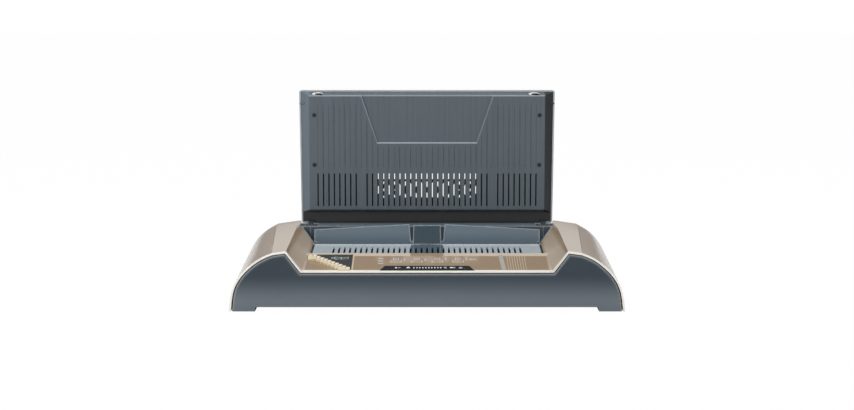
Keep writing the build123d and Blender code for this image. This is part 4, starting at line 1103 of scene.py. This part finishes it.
def rocker_marks():
    """Bar on the upper half of the mains rocker and ring on the lower one."""
    rest = tilted(JOINTS["power_switch_rock"]["pos_m"], ROCKER_TILT)
    upright = Matrix.Rotation(-pi / 2, 4, "X")
    on_mark = bmesh.new()
    bar(on_mark, 0, 0, 0.8, 3.2)
    off_mark = bmesh.new()
    ring(off_mark, 0, 0, 1.7, 0.7)
    for name, side, shape in (("rocker_on_mark", 1, on_mark), ("rocker_off_mark", -1, off_mark)):
        half = tilted((0, ROCKER_FACE, side * ROCKER_MARK_RISE), -side * ROCKER_SLOPE)
        lay(name, shape, rest @ half @ upright, 0.0, "white_ink", "rocker")


INLET_X = 0.208
INLET_Z = 0.038
BLADE_Y = 0.1092
BLADES = ((-0.007, -0.0015), (0.0, 0.0025), (0.007, -0.0015))
BLADE_SIZE = (0.0022, 0.0108, 0.0042)
BLADE_ROUNDING = 0.0003


def inlet_blades():
    """Plated skins of the three inlet blades."""
    shape = bmesh.new()
    for across, rise in BLADES:
        place = Matrix.Translation((INLET_X + across, BLADE_Y, INLET_Z + rise))
        bmesh.ops.create_cube(shape, size=1.0, matrix=place @ Matrix.Diagonal((*BLADE_SIZE, 1)))
    piece = add_piece("inlet_blades", shape, ["steel"], "base", smooth=False)
    round_edges(piece, BLADE_ROUNDING)


gauge_prints()
gauge_icon()
deck_pictograms()
deck_ribs()
strip_pips()
window_prints()
lid_fittings()
base_screw_crosses()
rocker_marks()
inlet_blades()


# ---- stage, light and camera ----
FLOOR_HALF = 6.0
FLOOR_GLOW = 0.985
SURROUND_LEVEL = 0.30
WHITE = (1.0, 1.0, 1.0, 1.0)


def backdrop_material():
    """White floor that keeps a soft shadow."""
    material, tree, shader = blank_material("studio_white")
    shader.inputs["Base Color"].default_value = srgb(238, 238, 238)
    shader.inputs["Roughness"].default_value = 0.9
    glow = tree.nodes.new("ShaderNodeEmission")
    path = tree.nodes.new("ShaderNodeLightPath")
    seen = maths(tree, "MAXIMUM", path.outputs["Is Camera Ray"], path.outputs["Is Transmission Ray"])
    mixer = tree.nodes.new("ShaderNodeMixShader")
    connect(tree, product(tree, seen, FLOOR_GLOW), mixer.inputs[0])
    connect(tree, shader.outputs[0], mixer.inputs[1])
    connect(tree, glow.outputs[0], mixer.inputs[2])
    connect(tree, mixer.outputs[0], tree.nodes["Material Output"].inputs["Surface"])
    return material


def add_stage():
    """Plain wide floor."""
    shape = bmesh.new()
    bmesh.ops.create_grid(shape, x_segments=1, y_segments=1, size=FLOOR_HALF)
    mesh = bpy.data.meshes.new("studio_floor")
    shape.to_mesh(mesh)
    shape.free()
    floor = bpy.data.objects.new("studio_floor", mesh)
    bpy.context.scene.collection.objects.link(floor)
    mesh.materials.append(backdrop_material())


def add_light(name, place, target, size, watts):
    """Soft box aimed at a point."""
    lamp = bpy.data.lights.new(name, "AREA")
    lamp.shape = "RECTANGLE"
    lamp.size, lamp.size_y = size
    lamp.energy = watts
    light = bpy.data.objects.new(name, lamp)
    light.location = place
    light.rotation_euler = (Vector(target) - Vector(place)).to_track_quat("-Z", "Y").to_euler()
    light.visible_camera = False
    bpy.context.scene.collection.objects.link(light)


def add_world():
    """Even surround, white to the camera alone, so that the lacquer keeps its colour at a slant."""
    world = bpy.data.worlds.new("studio_surround")
    bpy.context.scene.world = world
    world.use_nodes = True
    tree = world.node_tree
    lit = tree.nodes["Background"]
    lit.inputs["Color"].default_value = WHITE
    lit.inputs["Strength"].default_value = SURROUND_LEVEL
    seen = tree.nodes.new("ShaderNodeBackground")
    seen.inputs["Color"].default_value = WHITE
    path = tree.nodes.new("ShaderNodeLightPath")
    mixer = tree.nodes.new("ShaderNodeMixShader")
    connect(tree, path.outputs["Is Camera Ray"], mixer.inputs[0])
    connect(tree, lit.outputs[0], mixer.inputs[1])
    connect(tree, seen.outputs[0], mixer.inputs[2])
    connect(tree, mixer.outputs[0], tree.nodes["World Output"].inputs["Surface"])


CAMERA_PLACE = (0.0, -2.0747, 0.4897)
CAMERA_TILT = radians(80.0)
CAMERA_LENS = 63.36
SENSOR_WIDTH = 36.0


def add_camera():
    """Camera ten degrees above the front, as the photograph has it."""
    lens = bpy.data.cameras.new("front_camera")
    lens.sensor_width = SENSOR_WIDTH
    lens.lens = CAMERA_LENS
    camera = bpy.data.objects.new("front_camera", lens)
    camera.location = CAMERA_PLACE
    camera.rotation_euler = (CAMERA_TILT, 0.0, 0.0)
    bpy.context.scene.collection.objects.link(camera)
    bpy.context.scene.camera = camera


BASE_MIDDLE = (0.0, 0.0, 0.05)
DECK_MIDDLE = (0.0, 0.0, 0.07)
MACHINE_MIDDLE = (0.0, 0.0, 0.1)
BACK_HEIGHT = 0.98

add_stage()
add_world()
add_light("top_softbox", (0.0, 0.1, 1.5), BASE_MIDDLE, size=(1.6, 1.2), watts=13.5)
add_light("key_softbox", (-1.4, -1.3, 1.1), MACHINE_MIDDLE, size=(0.9, 0.9), watts=12.0)
add_light("front_fill", (0.1, -2.3, 0.55), MACHINE_MIDDLE, size=(1.2, 0.8), watts=7.0)
add_light("left_softbox", (-1.5, 0.3, 0.8), DECK_MIDDLE, size=(0.5, 0.9), watts=1.5)
add_light("right_softbox", (1.5, 0.3, 0.8), DECK_MIDDLE, size=(0.5, 0.9), watts=3.4)
add_light("back_panel", (0.0, 2.5, BACK_HEIGHT), (0.0, 0.0, BACK_HEIGHT), size=(3.6, 1.1), watts=7.0)
add_camera()
bpy.context.scene.view_settings.view_transform = "Standard"
